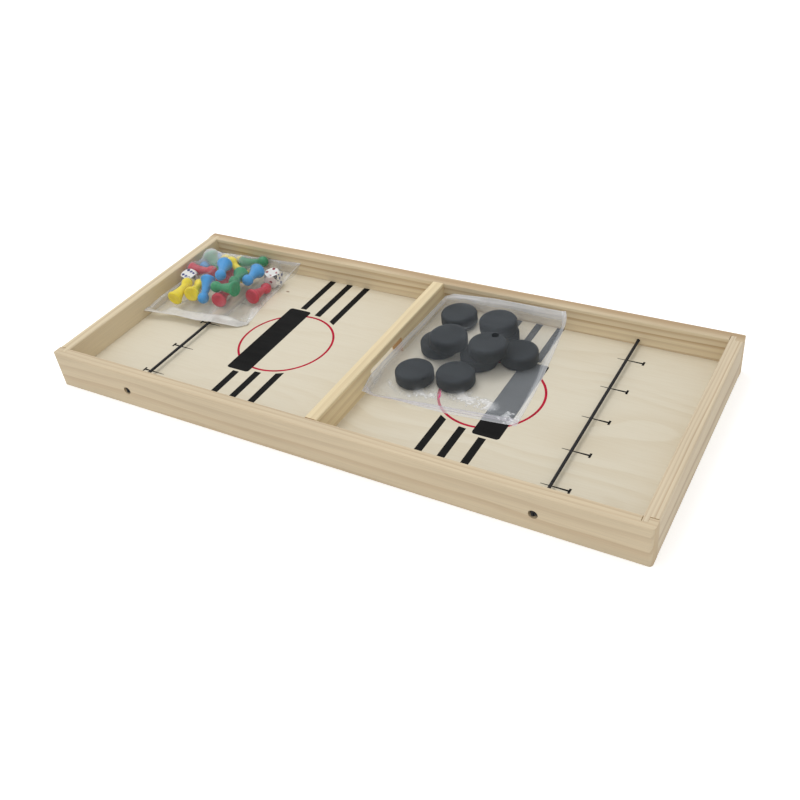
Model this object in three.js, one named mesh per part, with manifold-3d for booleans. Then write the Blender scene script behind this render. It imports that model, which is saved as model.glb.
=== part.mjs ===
// Wooden two-player sling board game: a long shallow tray of rails round a plywood board,
// a divider with one gate, an elastic cord stretched across each half, and the loose
// playing pieces lying in the back corners in two clear film bags.
// Millimetres. X runs along the tray, Y to the back, Z up. The origin is at the bottom centre.
import * as THREE from 'three'
import { mergeVertices } from 'three/addons/utils/BufferGeometryUtils.js'
import Module from 'manifold-3d'

const wasm = await Module()
wasm.setup()

// Tray
const gameLength = 500
const gameWidth = 215
const railHeight = 32
const railThickness = 10
const cornerRadius = 3
const easeRadius = 1.2
const footEaseRadius = 0.6
const boardThickness = 3
const boardTop = 10.6
const grooveDepth = 4
const glueGap = 0.1
const cutOverrun = 2

// Housed joints between the rails
const endTongueThickness = 4
const endTongueDepth = 5
const dividerTongueThickness = 4
const dividerTongueDepth = 4
const dividerTongueHeight = 14

// Gate in the divider
const gateWidth = 48
const gateHeight = 14.2
const gateRadius = 1

// Elastic cords and the holes they are knotted in
const cordDiameter = 2.4
const cordFromEndRail = 66.8
const cordHeight = 14.6
const cordBoreDiameter = 3
const knotPocketDiameter = 6.8
const knotPocketDepth = 5.4
const cordGap = 0.3
const pulledPartLength = 24
const knotLoopRadius = 1.75
const knotCordRadius = 1.1
const knotTailLength = 2.2
const knotTailShare = 0.9
const knotTailTurn = 25

// Pucks
const puckDiameter = 30
const puckThickness = 10.5
const puckEdgeRadius = 2.2
const puckRimShare = 1 - Math.SQRT1_2

// Pawns and dice
const pawnHeight = 27
const dieSide = 12.6
const dieRoundDiameter = 18.4

// Film bags
const filmThickness = 0.5
const filmRestGap = 0.2
const contentGap = 0.3
const ventDiameter = 5.5
const bagWallGap = 0.5
const bagLeastHollow = 0.4

// Puck bag: it leans on the divider and the back rail
const puckBagBackSlack = 5.5
const puckBagFrontSlack = 15
const puckBagMouthSlack = 8.5
const puckBagMouthSkew = 11.5
const puckBagLean = { backLeft: 9.5, backRight: 14, frontLeft: 10.5, frontRight: 0 }

// Pawn bag: it leans on the left end rail and the back rail and lies over the cord
const pawnBagSlack = 6
const pawnBagMouthSlack = 5.5
const pawnBagMouthSkew = 13
const pawnBagLean = { backLeft: 8, backRight: 13.5, frontLeft: 9, frontRight: 0.2 }

// Finishes
const finishes = {
  rail: { color: 0xd6c8a8, roughness: 0.6 },
  board: { color: 0xd9d0b8, roughness: 0.55 },
  cord: { color: 0x1a1a1c, roughness: 0.75 },
  puck: { color: 0x2b2f33, roughness: 0.45 },
  yellow: { color: 0xf0e146, roughness: 0.35 },
  blue: { color: 0x3c96dc, roughness: 0.35 },
  green: { color: 0x2d8c55, roughness: 0.35 },
  red: { color: 0xc83246, roughness: 0.35 },
  die: { color: 0xf2f0ea, roughness: 0.3 },
  film: { color: 0xeef0f2, roughness: 0.15, transparent: true, opacity: 0.35 },
}

// Facets and grids
const easeSegments = 3
const boreSegments = 18
const cordSegments = 10
const knotSegments = { core: [7, 5], loop: [6, 9] }
const puckSegments = 20
const pawnSegments = 14
const dieRoundSegments = [20, 12]
const reachShare = 0.62
const drapeSlopeShare = 0.9
const pawnBaseShare = 0.5
const pullShare = 0.5

// Derived levels and faces
const halfLength = gameLength / 2
const halfWidth = gameWidth / 2
const innerX = halfLength - railThickness
const innerY = halfWidth - railThickness
const boardBottom = boardTop - boardThickness
const dividerFace = railThickness / 2
const cordRadius = cordDiameter / 2
const cordFromCentre = innerX - cordFromEndRail
const legTurnY = innerY - cordGap - cordRadius
const legLength = legTurnY - pulledPartLength / 2
const pullTravel = legLength * pullShare
const pawnRadius = pawnHeight * pawnBaseShare / 2
const bagRest = boardTop + filmRestGap
const contentRest = bagRest + filmThickness + contentGap
const overCord = cordHeight + cordRadius + cordGap

// Outline shares: each pair is a share of the piece's radius and of its height
const pawnOutlineShares = [
  [0, 0], [0.93, 0], [1, 0.03], [1, 0.085], [0.83, 0.16], [0.62, 0.35], [0.46, 0.61],
  [0.67, 0.73], [0.74, 0.815], [0.64, 0.91], [0.37, 0.975], [0, 1],
]
// Balls that fill a pawn: share of its height, share of its base radius
const pawnBallShares = [[0.12, 1.04], [0.3, 0.83], [0.6, 0.6], [0.815, 0.8]]
const dieBallShare = 0.68

// Puck places in puck diameters: away from the divider, away from the back rail, and the layer
const puckPlaceShares = [
  [0.82, 0.71, 0], [0.92, 2.08, 0], [3.07, 1.77, 0], [0.93, 3.47, 0], [1.97, 3.21, 0],
  [2.15, 2.2, 0], [2.25, 1.13, 0], [2.22, 1.16, 1], [1.3, 2.23, 1], [2.42, 2.21, 1],
]

// Pawn places in pawn heights: colour, base away from the left rail, away from the back rail
// and above the lowest of the heap, then heading and tilt in degrees
const pawnPlaceShares = [
  ['yellow', 0.81, 3.4, 0.15, 95, 9],
  ['yellow', 1.27, 3.04, 0.21, 111, -7],
  ['yellow', 2.29, 1.44, 0.14, 160, 24],
  ['yellow', 1.09, 1, 0.29, 85, -26],
  ['blue', 1.41, 2.24, 0.38, -69, -19],
  ['blue', 1.55, 1.46, 0.56, -62, 2],
  ['blue', 2.62, 1.11, 0.31, -77, 7],
  ['blue', 0.33, 0.46, 0, -86, 8],
  ['green', 3, 2.73, 0.6, -178, -5],
  ['green', 1.41, 0.54, 0.01, 18, 7],
  ['green', 0.47, 0.96, 0.46, -31, -37],
  ['green', 2.31, 1.6, 0.39, -67, 12],
  ['red', 2.37, 3, 0.18, 105, -4],
  ['red', 3.14, 2.27, 0.05, 92, -10],
  ['red', 0.18, 1.73, 0.21, 11, 1],
  ['red', 1.71, 1.94, 0.18, 105, -5],
]

// Die places: the same shares for the centre, then turn and tilt in degrees
const diePlaceShares = [
  [3.09, 0.96, 0.03, 12, 8],
  [0.47, 2.16, 0.15, 35, 12],
]

// Grid of the bags: cells between the seams, and the width of each seam as a share of the bag
const puckBagCells = { columns: 14, rows: 14, leftSeamShare: 0.033, rightSeamShare: 0.033,
  frontSeamShare: 0.032, backSeamShare: 0.032, afterLine: 1 }
const pawnBagCells = { columns: 10, rows: 9, leftSeamShare: 0.015, rightSeamShare: 0.03,
  frontSeamShare: 0.03, backSeamShare: 0.015, afterLine: 3 }

// Vent holes: share of the way from left to right and from front to back of the bag
const puckBagVentShares = [0.62, 0.56]
const pawnBagVentShares = [0.5, 0.4]

// Solids from outlines

// A closed three.js geometry as a solid that can be joined and cut
function solid(geometry) {
  const plain = geometry.clone()
  plain.deleteAttribute('normal')
  plain.deleteAttribute('uv')
  const welded = mergeVertices(plain)
  const vertProperties = new Float32Array(welded.attributes.position.array)
  const triVerts = new Uint32Array(welded.index.array)
  return new wasm.Manifold(new wasm.Mesh({ numProp: 3, vertProperties, triVerts }))
}

function box(fromX, toX, fromY, toY, fromZ, toZ) {
  const geometry = new THREE.BoxGeometry(toX - fromX, toY - fromY, toZ - fromZ)
  geometry.translate((fromX + toX) / 2, (fromY + toY) / 2, (fromZ + toZ) / 2)
  return solid(geometry)
}

// Outline in Y and Z carried along X
function alongX(outline, fromX, toX) {
  const options = { depth: toX - fromX, bevelEnabled: false, curveSegments: easeSegments }
  const geometry = new THREE.ExtrudeGeometry(outline, options)
  const turn = new THREE.Matrix4().makeBasis(
    new THREE.Vector3(0, 1, 0), new THREE.Vector3(0, 0, 1), new THREE.Vector3(1, 0, 0))
  geometry.applyMatrix4(turn)
  geometry.translate(fromX, 0, 0)
  return solid(geometry)
}

// Outline in X and Z carried along Y
function alongY(outline, fromY, toY) {
  const options = { depth: toY - fromY, bevelEnabled: false, curveSegments: easeSegments }
  const geometry = new THREE.ExtrudeGeometry(outline, options)
  const turn = new THREE.Matrix4().makeBasis(
    new THREE.Vector3(1, 0, 0), new THREE.Vector3(0, 0, 1), new THREE.Vector3(0, -1, 0))
  geometry.applyMatrix4(turn)
  geometry.translate(0, toY, 0)
  return solid(geometry)
}

// Outline in X and Y carried along Z
function alongZ(outline, fromZ, toZ) {
  const options = { depth: toZ - fromZ, bevelEnabled: false, curveSegments: easeSegments }
  const geometry = new THREE.ExtrudeGeometry(outline, options)
  geometry.translate(0, 0, fromZ)
  return solid(geometry)
}

// Round bar along Y
function barAlongY(radius, centreX, centreZ, fromY, toY) {
  const geometry = new THREE.CylinderGeometry(radius, radius, toY - fromY, boreSegments)
  geometry.translate(centreX, (fromY + toY) / 2, centreZ)
  return solid(geometry)
}

// Rectangle with its own radius at the low and the high corners
function roundedOutline(left, right, low, high, lowRadius, highRadius) {
  const outline = new THREE.Shape()
  outline.moveTo(left + lowRadius, low)
  outline.lineTo(right - lowRadius, low)
  if (lowRadius > 0) {
    outline.absarc(right - lowRadius, low + lowRadius, lowRadius, -Math.PI / 2, 0)
  }
  outline.lineTo(right, high - highRadius)
  if (highRadius > 0) {
    outline.absarc(right - highRadius, high - highRadius, highRadius, 0, Math.PI / 2)
  }
  outline.lineTo(left + highRadius, high)
  if (highRadius > 0) {
    outline.absarc(left + highRadius, high - highRadius, highRadius, Math.PI / 2, Math.PI)
  }
  outline.lineTo(left, low + lowRadius)
  if (lowRadius > 0) {
    outline.absarc(left + lowRadius, low + lowRadius, lowRadius, Math.PI, Math.PI * 1.5)
  }
  return outline
}

const game = new THREE.Group()
game.name = 'sling_board_game'

function addSolid(shape, name, finish) {
  const data = shape.getMesh()
  const geometry = new THREE.BufferGeometry()
  const places = new Float32Array(data.vertProperties)
  geometry.setAttribute('position', new THREE.BufferAttribute(places, 3))
  geometry.setIndex(new THREE.BufferAttribute(new Uint32Array(data.triVerts), 1))
  geometry.computeVertexNormals()
  const material = new THREE.MeshStandardMaterial({ metalness: 0, ...finishes[finish] })
  const mesh = new THREE.Mesh(geometry, material)
  mesh.name = name
  game.add(mesh)
}

// Rails, divider and board

const boardPocket = box(
  -innerX - grooveDepth - glueGap, innerX + grooveDepth + glueGap,
  -innerY - grooveDepth - glueGap, innerY + grooveDepth + glueGap,
  boardBottom - glueGap, boardTop + glueGap)

// Tongue of an end rail or of the divider, with some room all round it
function tongue(fromX, toX, side, depth, fromZ, toZ, room) {
  const near = innerY - room
  const far = innerY + depth + room
  const low = side > 0 ? near : -far
  const high = side > 0 ? far : -near
  return box(fromX - room, toX + room, low, high, fromZ - room, toZ + room)
}

function endTongue(end, side, room) {
  const near = innerX
  const far = innerX + endTongueThickness
  const fromX = end > 0 ? near : -far
  const toX = end > 0 ? far : -near
  return tongue(fromX, toX, side, endTongueDepth, 0, railHeight, room)
}

function dividerTongue(side, room) {
  const reach = dividerTongueThickness / 2
  const top = boardTop + dividerTongueHeight
  return tongue(-reach, reach, side, dividerTongueDepth, boardTop, top, room)
}

// Hole for one cord end: a bore through the rail and a pocket for the knot from outside
function cordHole(end, side) {
  const x = end * cordFromCentre
  const inside = side * (innerY - cutOverrun)
  const outside = side * (halfWidth + cutOverrun)
  const pocketFloor = side * (halfWidth - knotPocketDepth)
  const bore = barAlongY(
    cordBoreDiameter / 2, x, cordHeight, Math.min(inside, outside), Math.max(inside, outside))
  const pocket = barAlongY(
    knotPocketDiameter / 2, x, cordHeight,
    Math.min(pocketFloor, outside), Math.max(pocketFloor, outside))
  return bore.add(pocket)
}

function longRail(side, name) {
  const near = side > 0 ? innerY : -halfWidth
  const far = side > 0 ? halfWidth : -innerY
  const section = roundedOutline(near, far, 0, railHeight, footEaseRadius, easeRadius)
  const lowRadius = side > 0 ? 0 : cornerRadius
  const highRadius = side > 0 ? cornerRadius : 0
  const plan = roundedOutline(-halfLength, halfLength, near, far, lowRadius, highRadius)
  let rail = alongX(section, -halfLength, halfLength)
    .intersect(alongZ(plan, -cutOverrun, railHeight + cutOverrun))
    .subtract(boardPocket)
    .subtract(dividerTongue(side, glueGap))
  for (const end of [-1, 1]) {
    rail = rail.subtract(endTongue(end, side, glueGap)).subtract(cordHole(end, side))
  }
  addSolid(rail, name, 'rail')
}

function endRail(end, name) {
  const near = end > 0 ? innerX : -halfLength
  const far = end > 0 ? halfLength : -innerX
  const section = roundedOutline(near, far, 0, railHeight, footEaseRadius, easeRadius)
  let rail = alongY(section, -innerY, innerY)
  const profile = alongY(section, -halfWidth, halfWidth)
  for (const side of [-1, 1]) {
    rail = rail.add(endTongue(end, side, 0).intersect(profile))
  }
  addSolid(rail.subtract(boardPocket), name, 'rail')
}

function divider() {
  const section = roundedOutline(-dividerFace, dividerFace, boardTop, railHeight, 0, easeRadius)
  const gateTop = boardTop + gateHeight
  const gate = roundedOutline(
    -gateWidth / 2, gateWidth / 2, boardTop - cutOverrun, gateTop, 0, gateRadius)
  const shape = alongY(section, -innerY, innerY)
    .add(dividerTongue(-1, 0))
    .add(dividerTongue(1, 0))
    .subtract(alongX(gate, -dividerFace - cutOverrun, dividerFace + cutOverrun))
  addSolid(shape, 'divider', 'rail')
}

longRail(-1, 'front_rail')
longRail(1, 'back_rail')
endRail(-1, 'left_end_rail')
endRail(1, 'right_end_rail')
divider()
addSolid(
  box(-innerX - grooveDepth, innerX + grooveDepth, -innerY - grooveDepth, innerY + grooveDepth,
    boardBottom, boardTop),
  'play_board', 'board')

// Knot in its pocket with the end of the cord through the bore
function slingKnot(end, side, name) {
  const x = end * cordFromCentre
  const knotY = side * (halfWidth - knotPocketDepth / 2)
  const inner = side * innerY
  const stub = barAlongY(
    cordRadius, x, cordHeight, Math.min(inner, knotY), Math.max(inner, knotY))
  const core = new THREE.SphereGeometry(knotLoopRadius, ...knotSegments.core)
  core.translate(x, knotY, cordHeight)
  let knot = stub.add(solid(core))
  for (const lean of [-1, 1]) {
    const loop = new THREE.TorusGeometry(knotLoopRadius, knotCordRadius, ...knotSegments.loop)
    loop.rotateX(Math.PI / 2)
    loop.rotateZ(lean * Math.PI / 5)
    loop.rotateY(lean * Math.PI / 7)
    loop.translate(x, knotY, cordHeight)
    knot = knot.add(solid(loop))
  }
  const tail = barAlongY(cordRadius * knotTailShare, 0, 0, 0, knotTailLength)
    .rotate([0, 0, side > 0 ? knotTailTurn : 180 - knotTailTurn])
    .translate([x, knotY - side * cordGap, cordHeight])
  addSolid(knot.add(tail), name, 'cord')
}

// Straight half of a cord from its turning point at the rail to the pulled part
function slingLeg(end, side, name) {
  const length = legLength - cordGap
  const outline = []
  for (let step = 0; step <= 3; step += 1) {
    const angle = -Math.PI / 2 + step * Math.PI / 6
    outline.push(new THREE.Vector2(cordRadius * Math.cos(angle), cordRadius * Math.sin(angle)))
  }
  outline[0].x = 0
  outline.push(new THREE.Vector2(cordRadius, length))
  outline.push(new THREE.Vector2(0, length))
  const leg = new THREE.LatheGeometry(outline, cordSegments)
  if (side > 0) {
    leg.rotateX(Math.PI)
  }
  leg.translate(end * cordFromCentre, side * legTurnY, cordHeight)
  addSolid(solid(leg), name, 'cord')
}

for (const [end, label] of [[-1, 'left'], [1, 'right']]) {
  slingKnot(end, -1, `${label}_sling_front_knot`)
  slingKnot(end, 1, `${label}_sling_back_knot`)
  slingLeg(end, -1, `${label}_sling_front_leg`)
  slingLeg(end, 1, `${label}_sling_back_leg`)
  const middle = new THREE.CylinderGeometry(
    cordRadius, cordRadius, pulledPartLength, cordSegments)
  middle.translate(end * cordFromCentre, 0, cordHeight)
  addSolid(solid(middle), `${label}_sling_middle`, 'cord')
}

// Pucks, flat on the film or one layer up

const puckRadius = puckDiameter / 2
const puckRimStart = puckRadius - puckEdgeRadius
const puckRimCut = puckEdgeRadius * puckRimShare
const puckOutline = [
  [0, 0], [puckRimStart, 0], [puckRadius - puckRimCut, puckRimCut], [puckRadius, puckEdgeRadius],
  [puckRadius, puckThickness - puckEdgeRadius],
  [puckRadius - puckRimCut, puckThickness - puckRimCut],
  [puckRimStart, puckThickness], [0, puckThickness],
].map(([radius, height]) => new THREE.Vector2(radius, height))

const puckCaps = []
puckPlaceShares.forEach(([shareX, shareY, layer], index) => {
  const x = dividerFace + shareX * puckDiameter
  const y = innerY - shareY * puckDiameter
  const z = contentRest + layer * (puckThickness + contentGap)
  const puck = new THREE.LatheGeometry(puckOutline, puckSegments)
  puck.rotateX(Math.PI / 2)
  puck.translate(x, y, z)
  addSolid(solid(puck), `puck_${String(index + 1).padStart(2, '0')}`, 'puck')
  puckCaps.push({ x, y, top: z + puckThickness, radius: puckRadius, dome: 0 })
})

// Level of the film's underside in the pawn bag: on the board, or clear of the cord and of the
// way the cord is drawn, with a slope between the two
function cordLevel(x, y) {
  const pull = pullTravel * Math.min(1, (innerY - y) / legLength)
  const low = -cordFromCentre - pull - cordRadius - pawnBagCell
  const high = cordSide
  const outside = Math.max(low - x, x - high, 0)
  const share = Math.max(0, 1 - outside / pawnBagCell)
  return bagRest + (overCord - bagRest) * share
}

function placeInHeap(shareX, shareY, shareZ) {
  return new THREE.Vector3(
    shareX * pawnHeight - innerX, innerY - shareY * pawnHeight, boardTop + shareZ * pawnHeight)
}

// Lying pawns and dice of the heap, each with the balls that fill it
const dieBallRadius = dieSide * dieBallShare
const pawnsInHeap = pawnPlaceShares.map(([colour, shareX, shareY, shareZ, heading, tilt]) => {
  const base = placeInHeap(shareX, shareY, shareZ)
  const axis = new THREE.Vector3(1, 0, 0).applyEuler(
    new THREE.Euler(0, -THREE.MathUtils.degToRad(tilt), THREE.MathUtils.degToRad(heading), 'ZYX'))
  const balls = pawnBallShares.map(([alongShare, radiusShare]) => {
    const centre = base.clone().addScaledVector(axis, alongShare * pawnHeight)
    return { x: centre.x, y: centre.y, z: centre.z, radius: radiusShare * pawnRadius }
  })
  return { colour, base, axis, balls }
})
const diceInHeap = diePlaceShares.map(([shareX, shareY, shareZ, turn, tilt]) => {
  const { x, y, z } = placeInHeap(shareX, shareY, shareZ)
  return { x, y, z, turn, tilt, balls: [{ x, y, z, radius: dieBallRadius }] }
})
const heapBalls = [...pawnsInHeap, ...diceInHeap].flatMap((piece) => piece.balls)

// Plan of the pawn bag round the heap
const pawnBagLeft = -innerX + bagWallGap
const pawnBagRight = Math.max(...heapBalls.map((ball) => ball.x + ball.radius)) + pawnBagSlack
const pawnBagMouth = Math.min(...heapBalls.map((ball) => ball.y - ball.radius)) - pawnBagMouthSlack
const pawnBagCell = (pawnBagRight - pawnBagLeft) / pawnBagCells.columns
const cordSide = -cordFromCentre + cordRadius + cordGap

// The heap as a whole stands as high as its lowest piece needs over the film
const heapLift = Math.max(...heapBalls.map(
  (ball) => cordLevel(ball.x, ball.y) + filmThickness + contentGap + ball.radius - ball.z))

const pawnOutline = pawnOutlineShares.map(
  ([radiusShare, heightShare]) => new THREE.Vector2(radiusShare * pawnRadius, heightShare * pawnHeight))
const pawnCount = {}
for (const { colour, base, axis } of pawnsInHeap) {
  const turn = new THREE.Quaternion().setFromUnitVectors(new THREE.Vector3(0, 1, 0), axis)
  const pawn = new THREE.LatheGeometry(pawnOutline, pawnSegments)
  pawn.applyQuaternion(turn)
  pawn.translate(base.x, base.y, base.z + heapLift)
  pawnCount[colour] = (pawnCount[colour] ?? 0) + 1
  addSolid(solid(pawn), `pawn_${colour}_${pawnCount[colour]}`, colour)
}

diceInHeap.forEach(({ x, y, z, turn, tilt }, index) => {
  const round = new THREE.SphereGeometry(dieRoundDiameter / 2, ...dieRoundSegments)
  const die = box(-dieSide / 2, dieSide / 2, -dieSide / 2, dieSide / 2, -dieSide / 2, dieSide / 2)
    .intersect(solid(round))
    .rotate([tilt, 0, turn])
    .translate([x, y, z + heapLift])
  addSolid(die, `die_${index + 1}`, 'die')
})

const pawnCaps = heapBalls.map(({ x, y, z, radius }) => (
  { x, y, top: z + heapLift + radius, radius, dome: radius }))

// Height of the film where it is stretched over what lies below it
function capHeight(cap, x, y, reach) {
  const away = Math.max(0, Math.hypot(x - cap.x, y - cap.y) - reach)
  if (away >= cap.radius) {
    return cap.top - cap.dome - (away - cap.radius) * drapeSlopeShare
  }
  const share = away / cap.radius
  return cap.top - cap.dome * (1 - Math.sqrt(1 - share * share))
}

// Grid lines as shares of one side: the seams at both ends and even cells between them, or
// even cells on each side of one line that has to be on the grid
function gridShares(cells, firstSeam, lastSeam, line, cellsAfterLine) {
  const shares = [0]
  const cellsBefore = cells - cellsAfterLine
  for (let step = 0; step <= cells; step += 1) {
    const share = step <= cellsBefore
      ? firstSeam + (line - firstSeam) * step / cellsBefore
      : line + (1 - lastSeam - line) * (step - cellsBefore) / cellsAfterLine
    shares.push(share)
  }
  shares.push(1)
  return shares
}

// Bag from its plan corners: every grid point has an underside level and a top level, and the
// hollow inside repeats the same grid one film thickness in
function filmBag(plan, lean, cells, lineX, caps, restLevel, ventShares, name) {
  const lineShare = (lineX - plan.frontLeft.x) / (plan.frontRight.x - plan.frontLeft.x)
  const columnShares = gridShares(
    cells.columns, cells.leftSeamShare, cells.rightSeamShare, lineShare, cells.afterLine)
  const rowShares = gridShares(
    cells.rows, cells.frontSeamShare, cells.backSeamShare, 1 - cells.backSeamShare, 0)
  const lastColumn = columnShares.length - 1
  const lastRow = rowShares.length - 1
  const cellX = (plan.frontRight.x - plan.frontLeft.x) / (lastColumn - 2)
  const cellY = (plan.backLeft.y - plan.frontLeft.y) / (lastRow - 2)
  const reach = Math.hypot(cellX, cellY) * reachShare

  function blend(corners, u, v) {
    const front = corners.frontLeft * (1 - u) + corners.frontRight * u
    const back = corners.backLeft * (1 - u) + corners.backRight * u
    return front * (1 - v) + back * v
  }

  const planX = { frontLeft: plan.frontLeft.x, frontRight: plan.frontRight.x,
    backLeft: plan.backLeft.x, backRight: plan.backRight.x }
  const planY = { frontLeft: plan.frontLeft.y, frontRight: plan.frontRight.y,
    backLeft: plan.backLeft.y, backRight: plan.backRight.y }

  function levels(column, row) {
    const u = columnShares[column]
    const v = rowShares[row]
    const x = blend(planX, u, v)
    const y = blend(planY, u, v)
    const rest = restLevel(x, y)
    const onEdge = column === 0 || row === 0 || column === lastColumn || row === lastRow
    if (onEdge) {
      const low = Math.max(rest, bagRest + blend(lean, u, v))
      return { x, y, low, high: low + 2 * filmThickness }
    }
    let high = rest + 2 * filmThickness + bagLeastHollow
    for (const cap of caps) {
      high = Math.max(high, capHeight(cap, x, y, reach) + contentGap + filmThickness)
    }
    return { x, y, low: rest, high }
  }

  function shell(inset) {
    const columns = lastColumn - 2 * inset
    const rows = lastRow - 2 * inset
    const geometry = new THREE.BoxGeometry(1, 1, 1, columns, rows, 1)
    const places = geometry.attributes.position
    for (let index = 0; index < places.count; index += 1) {
      const column = Math.round((places.getX(index) + 0.5) * columns) + inset
      const row = Math.round((places.getY(index) + 0.5) * rows) + inset
      const point = levels(column, row)
      const upper = places.getZ(index) > 0
      const z = upper ? point.high - inset * filmThickness : point.low + inset * filmThickness
      places.setXYZ(index, point.x, point.y, z)
    }
    return solid(geometry)
  }

  const ventColumn = Math.round(ventShares[0] * lastColumn)
  const ventRow = Math.round(ventShares[1] * lastRow)
  const ventPoint = levels(ventColumn, ventRow)
  const vent = new THREE.CylinderGeometry(
    ventDiameter / 2, ventDiameter / 2, cutOverrun * 2, boreSegments)
  vent.rotateX(Math.PI / 2)
  vent.translate(ventPoint.x, ventPoint.y, ventPoint.high)
  const bag = shell(0).subtract(shell(1)).subtract(solid(vent))
  addSolid(bag, name, 'film')
}

const puckBagLeft = dividerFace + bagWallGap
const puckBagBack = innerY - bagWallGap
const pucksRight = Math.max(...puckCaps.map((cap) => cap.x)) + puckRadius
const pucksFront = Math.min(...puckCaps.map((cap) => cap.y)) - puckRadius
const puckBagMouth = pucksFront - puckBagMouthSlack
filmBag(
  {
    frontLeft: { x: puckBagLeft, y: puckBagMouth - puckBagMouthSkew },
    frontRight: { x: pucksRight + puckBagFrontSlack, y: puckBagMouth },
    backLeft: { x: puckBagLeft, y: puckBagBack },
    backRight: { x: pucksRight + puckBagBackSlack, y: puckBagBack },
  },
  puckBagLean, puckBagCells, pucksRight, puckCaps, () => bagRest, puckBagVentShares, 'puck_bag')

filmBag(
  {
    frontLeft: { x: pawnBagLeft, y: pawnBagMouth },
    frontRight: { x: pawnBagRight, y: pawnBagMouth + pawnBagMouthSkew },
    backLeft: { x: pawnBagLeft, y: innerY - bagWallGap },
    backRight: { x: pawnBagRight, y: innerY - bagWallGap },
  },
  pawnBagLean, pawnBagCells, cordSide, pawnCaps, cordLevel, pawnBagVentShares, 'pawn_bag')

export default game
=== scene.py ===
import math

import bmesh
import bpy
import numpy as np
from mathutils import Matrix, Vector, noise


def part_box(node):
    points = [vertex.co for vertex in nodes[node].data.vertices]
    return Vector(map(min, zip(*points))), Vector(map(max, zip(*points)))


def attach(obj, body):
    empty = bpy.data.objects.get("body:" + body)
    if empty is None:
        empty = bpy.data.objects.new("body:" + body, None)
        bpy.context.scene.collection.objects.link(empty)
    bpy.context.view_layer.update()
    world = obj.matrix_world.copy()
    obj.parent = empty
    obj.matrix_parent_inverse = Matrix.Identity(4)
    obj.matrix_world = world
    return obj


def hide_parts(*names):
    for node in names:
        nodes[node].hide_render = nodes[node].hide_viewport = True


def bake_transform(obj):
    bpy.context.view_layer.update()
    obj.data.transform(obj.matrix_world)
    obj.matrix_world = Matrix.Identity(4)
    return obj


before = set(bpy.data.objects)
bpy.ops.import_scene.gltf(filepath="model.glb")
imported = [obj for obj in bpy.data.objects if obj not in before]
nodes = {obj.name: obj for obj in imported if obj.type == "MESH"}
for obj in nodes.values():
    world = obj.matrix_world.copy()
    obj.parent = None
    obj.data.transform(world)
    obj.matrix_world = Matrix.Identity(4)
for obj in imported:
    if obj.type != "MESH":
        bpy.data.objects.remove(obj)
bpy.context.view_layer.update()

# Sling puck board game: pale pine tray, black elastic slings, and the loose pieces in two clear bags.
# Metres, +Z up, the tray along X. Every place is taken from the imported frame.

mm = 0.001
scene = bpy.context.scene
scene.view_settings.view_transform = "Standard"

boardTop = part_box("play_board")[1].z
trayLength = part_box("front_rail")[1].x * 2
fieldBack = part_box("back_rail")[0].y    # inner face of the back rail


# Camera, solved from the tray's edges

photoView = {
    "azimuth": 34.29,              # degrees from the front towards the right end
    "elevation": 37.55,
    "roll": -7.74,
    "distanceShare": 1.4358,       # shares of the tray's length
    "targetShareX": 0.0521,
    "targetShareY": -0.0419,
    "fieldOfView": 46.34,
}


def placeCamera(view):
    azimuth, elevation, roll = (math.radians(view[key]) for key in ("azimuth", "elevation", "roll"))
    away = Vector((math.cos(elevation) * math.sin(azimuth),
                   -math.cos(elevation) * math.cos(azimuth),
                   math.sin(elevation)))
    target = Vector((view["targetShareX"], view["targetShareY"], 0)) * trayLength
    level = Vector((0, 0, 1)).cross(away).normalized()
    up = away.cross(level)
    right = level * math.cos(roll) + up * math.sin(roll)
    top = up * math.cos(roll) - level * math.sin(roll)
    turn = Matrix((right, top, away)).transposed().to_4x4()
    data = bpy.data.cameras.new("photoCamera")
    data.sensor_fit = "HORIZONTAL"
    data.angle = math.radians(view["fieldOfView"])
    camera = bpy.data.objects.new("photoCamera", data)
    camera.matrix_world = Matrix.Translation(target + away * view["distanceShare"] * trayLength) @ turn
    scene.collection.objects.link(camera)
    scene.camera = camera


placeCamera(photoView)
print("camera placed")


# Shader helpers

def shaderNode(tree, kind, inputs=None, **settings):
    node = tree.nodes.new(kind)
    for setting, value in settings.items():
        setattr(node, setting, value)
    for socket, value in (inputs or {}).items():
        if isinstance(value, bpy.types.NodeSocket):
            tree.links.new(value, node.inputs[socket])
        else:
            node.inputs[socket].default_value = value
    return node


def mathNode(tree, operation, first, second=0.0, clamp=False):
    sockets = {0: first, 1: second}
    return shaderNode(tree, "ShaderNodeMath", sockets, operation=operation, use_clamp=clamp).outputs[0]


def multiply(tree, first, second):
    return mathNode(tree, "MULTIPLY", first, second)


def add(tree, first, second, clamp=False):
    return mathNode(tree, "ADD", first, second, clamp)


def vectorNode(tree, operation, first, second=(0, 0, 0), output=0):
    sockets = {0: first, 1: second}
    return shaderNode(tree, "ShaderNodeVectorMath", sockets, operation=operation).outputs[output]


def stretched(tree, place, factors):
    return vectorNode(tree, "MULTIPLY", place, factors)


def scaled(tree, vector, factor):
    sockets = {0: vector, "Scale": factor}
    return shaderNode(tree, "ShaderNodeVectorMath", sockets, operation="SCALE").outputs[0]


def lengthOf(tree, vector):
    return vectorNode(tree, "LENGTH", vector, output=1)


def rangeNode(tree, value, fromLow, fromHigh, toLow=0.0, toHigh=1.0, shape="SMOOTHSTEP"):
    sockets = {"Value": value, "From Min": fromLow, "From Max": fromHigh, "To Min": toLow, "To Max": toHigh}
    return shaderNode(tree, "ShaderNodeMapRange", sockets, interpolation_type=shape).outputs["Result"]


def mixColours(tree, share, first, second):
    return shaderNode(tree, "ShaderNodeMix", {0: share, 6: first, 7: second}, data_type="RGBA").outputs[2]


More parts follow.
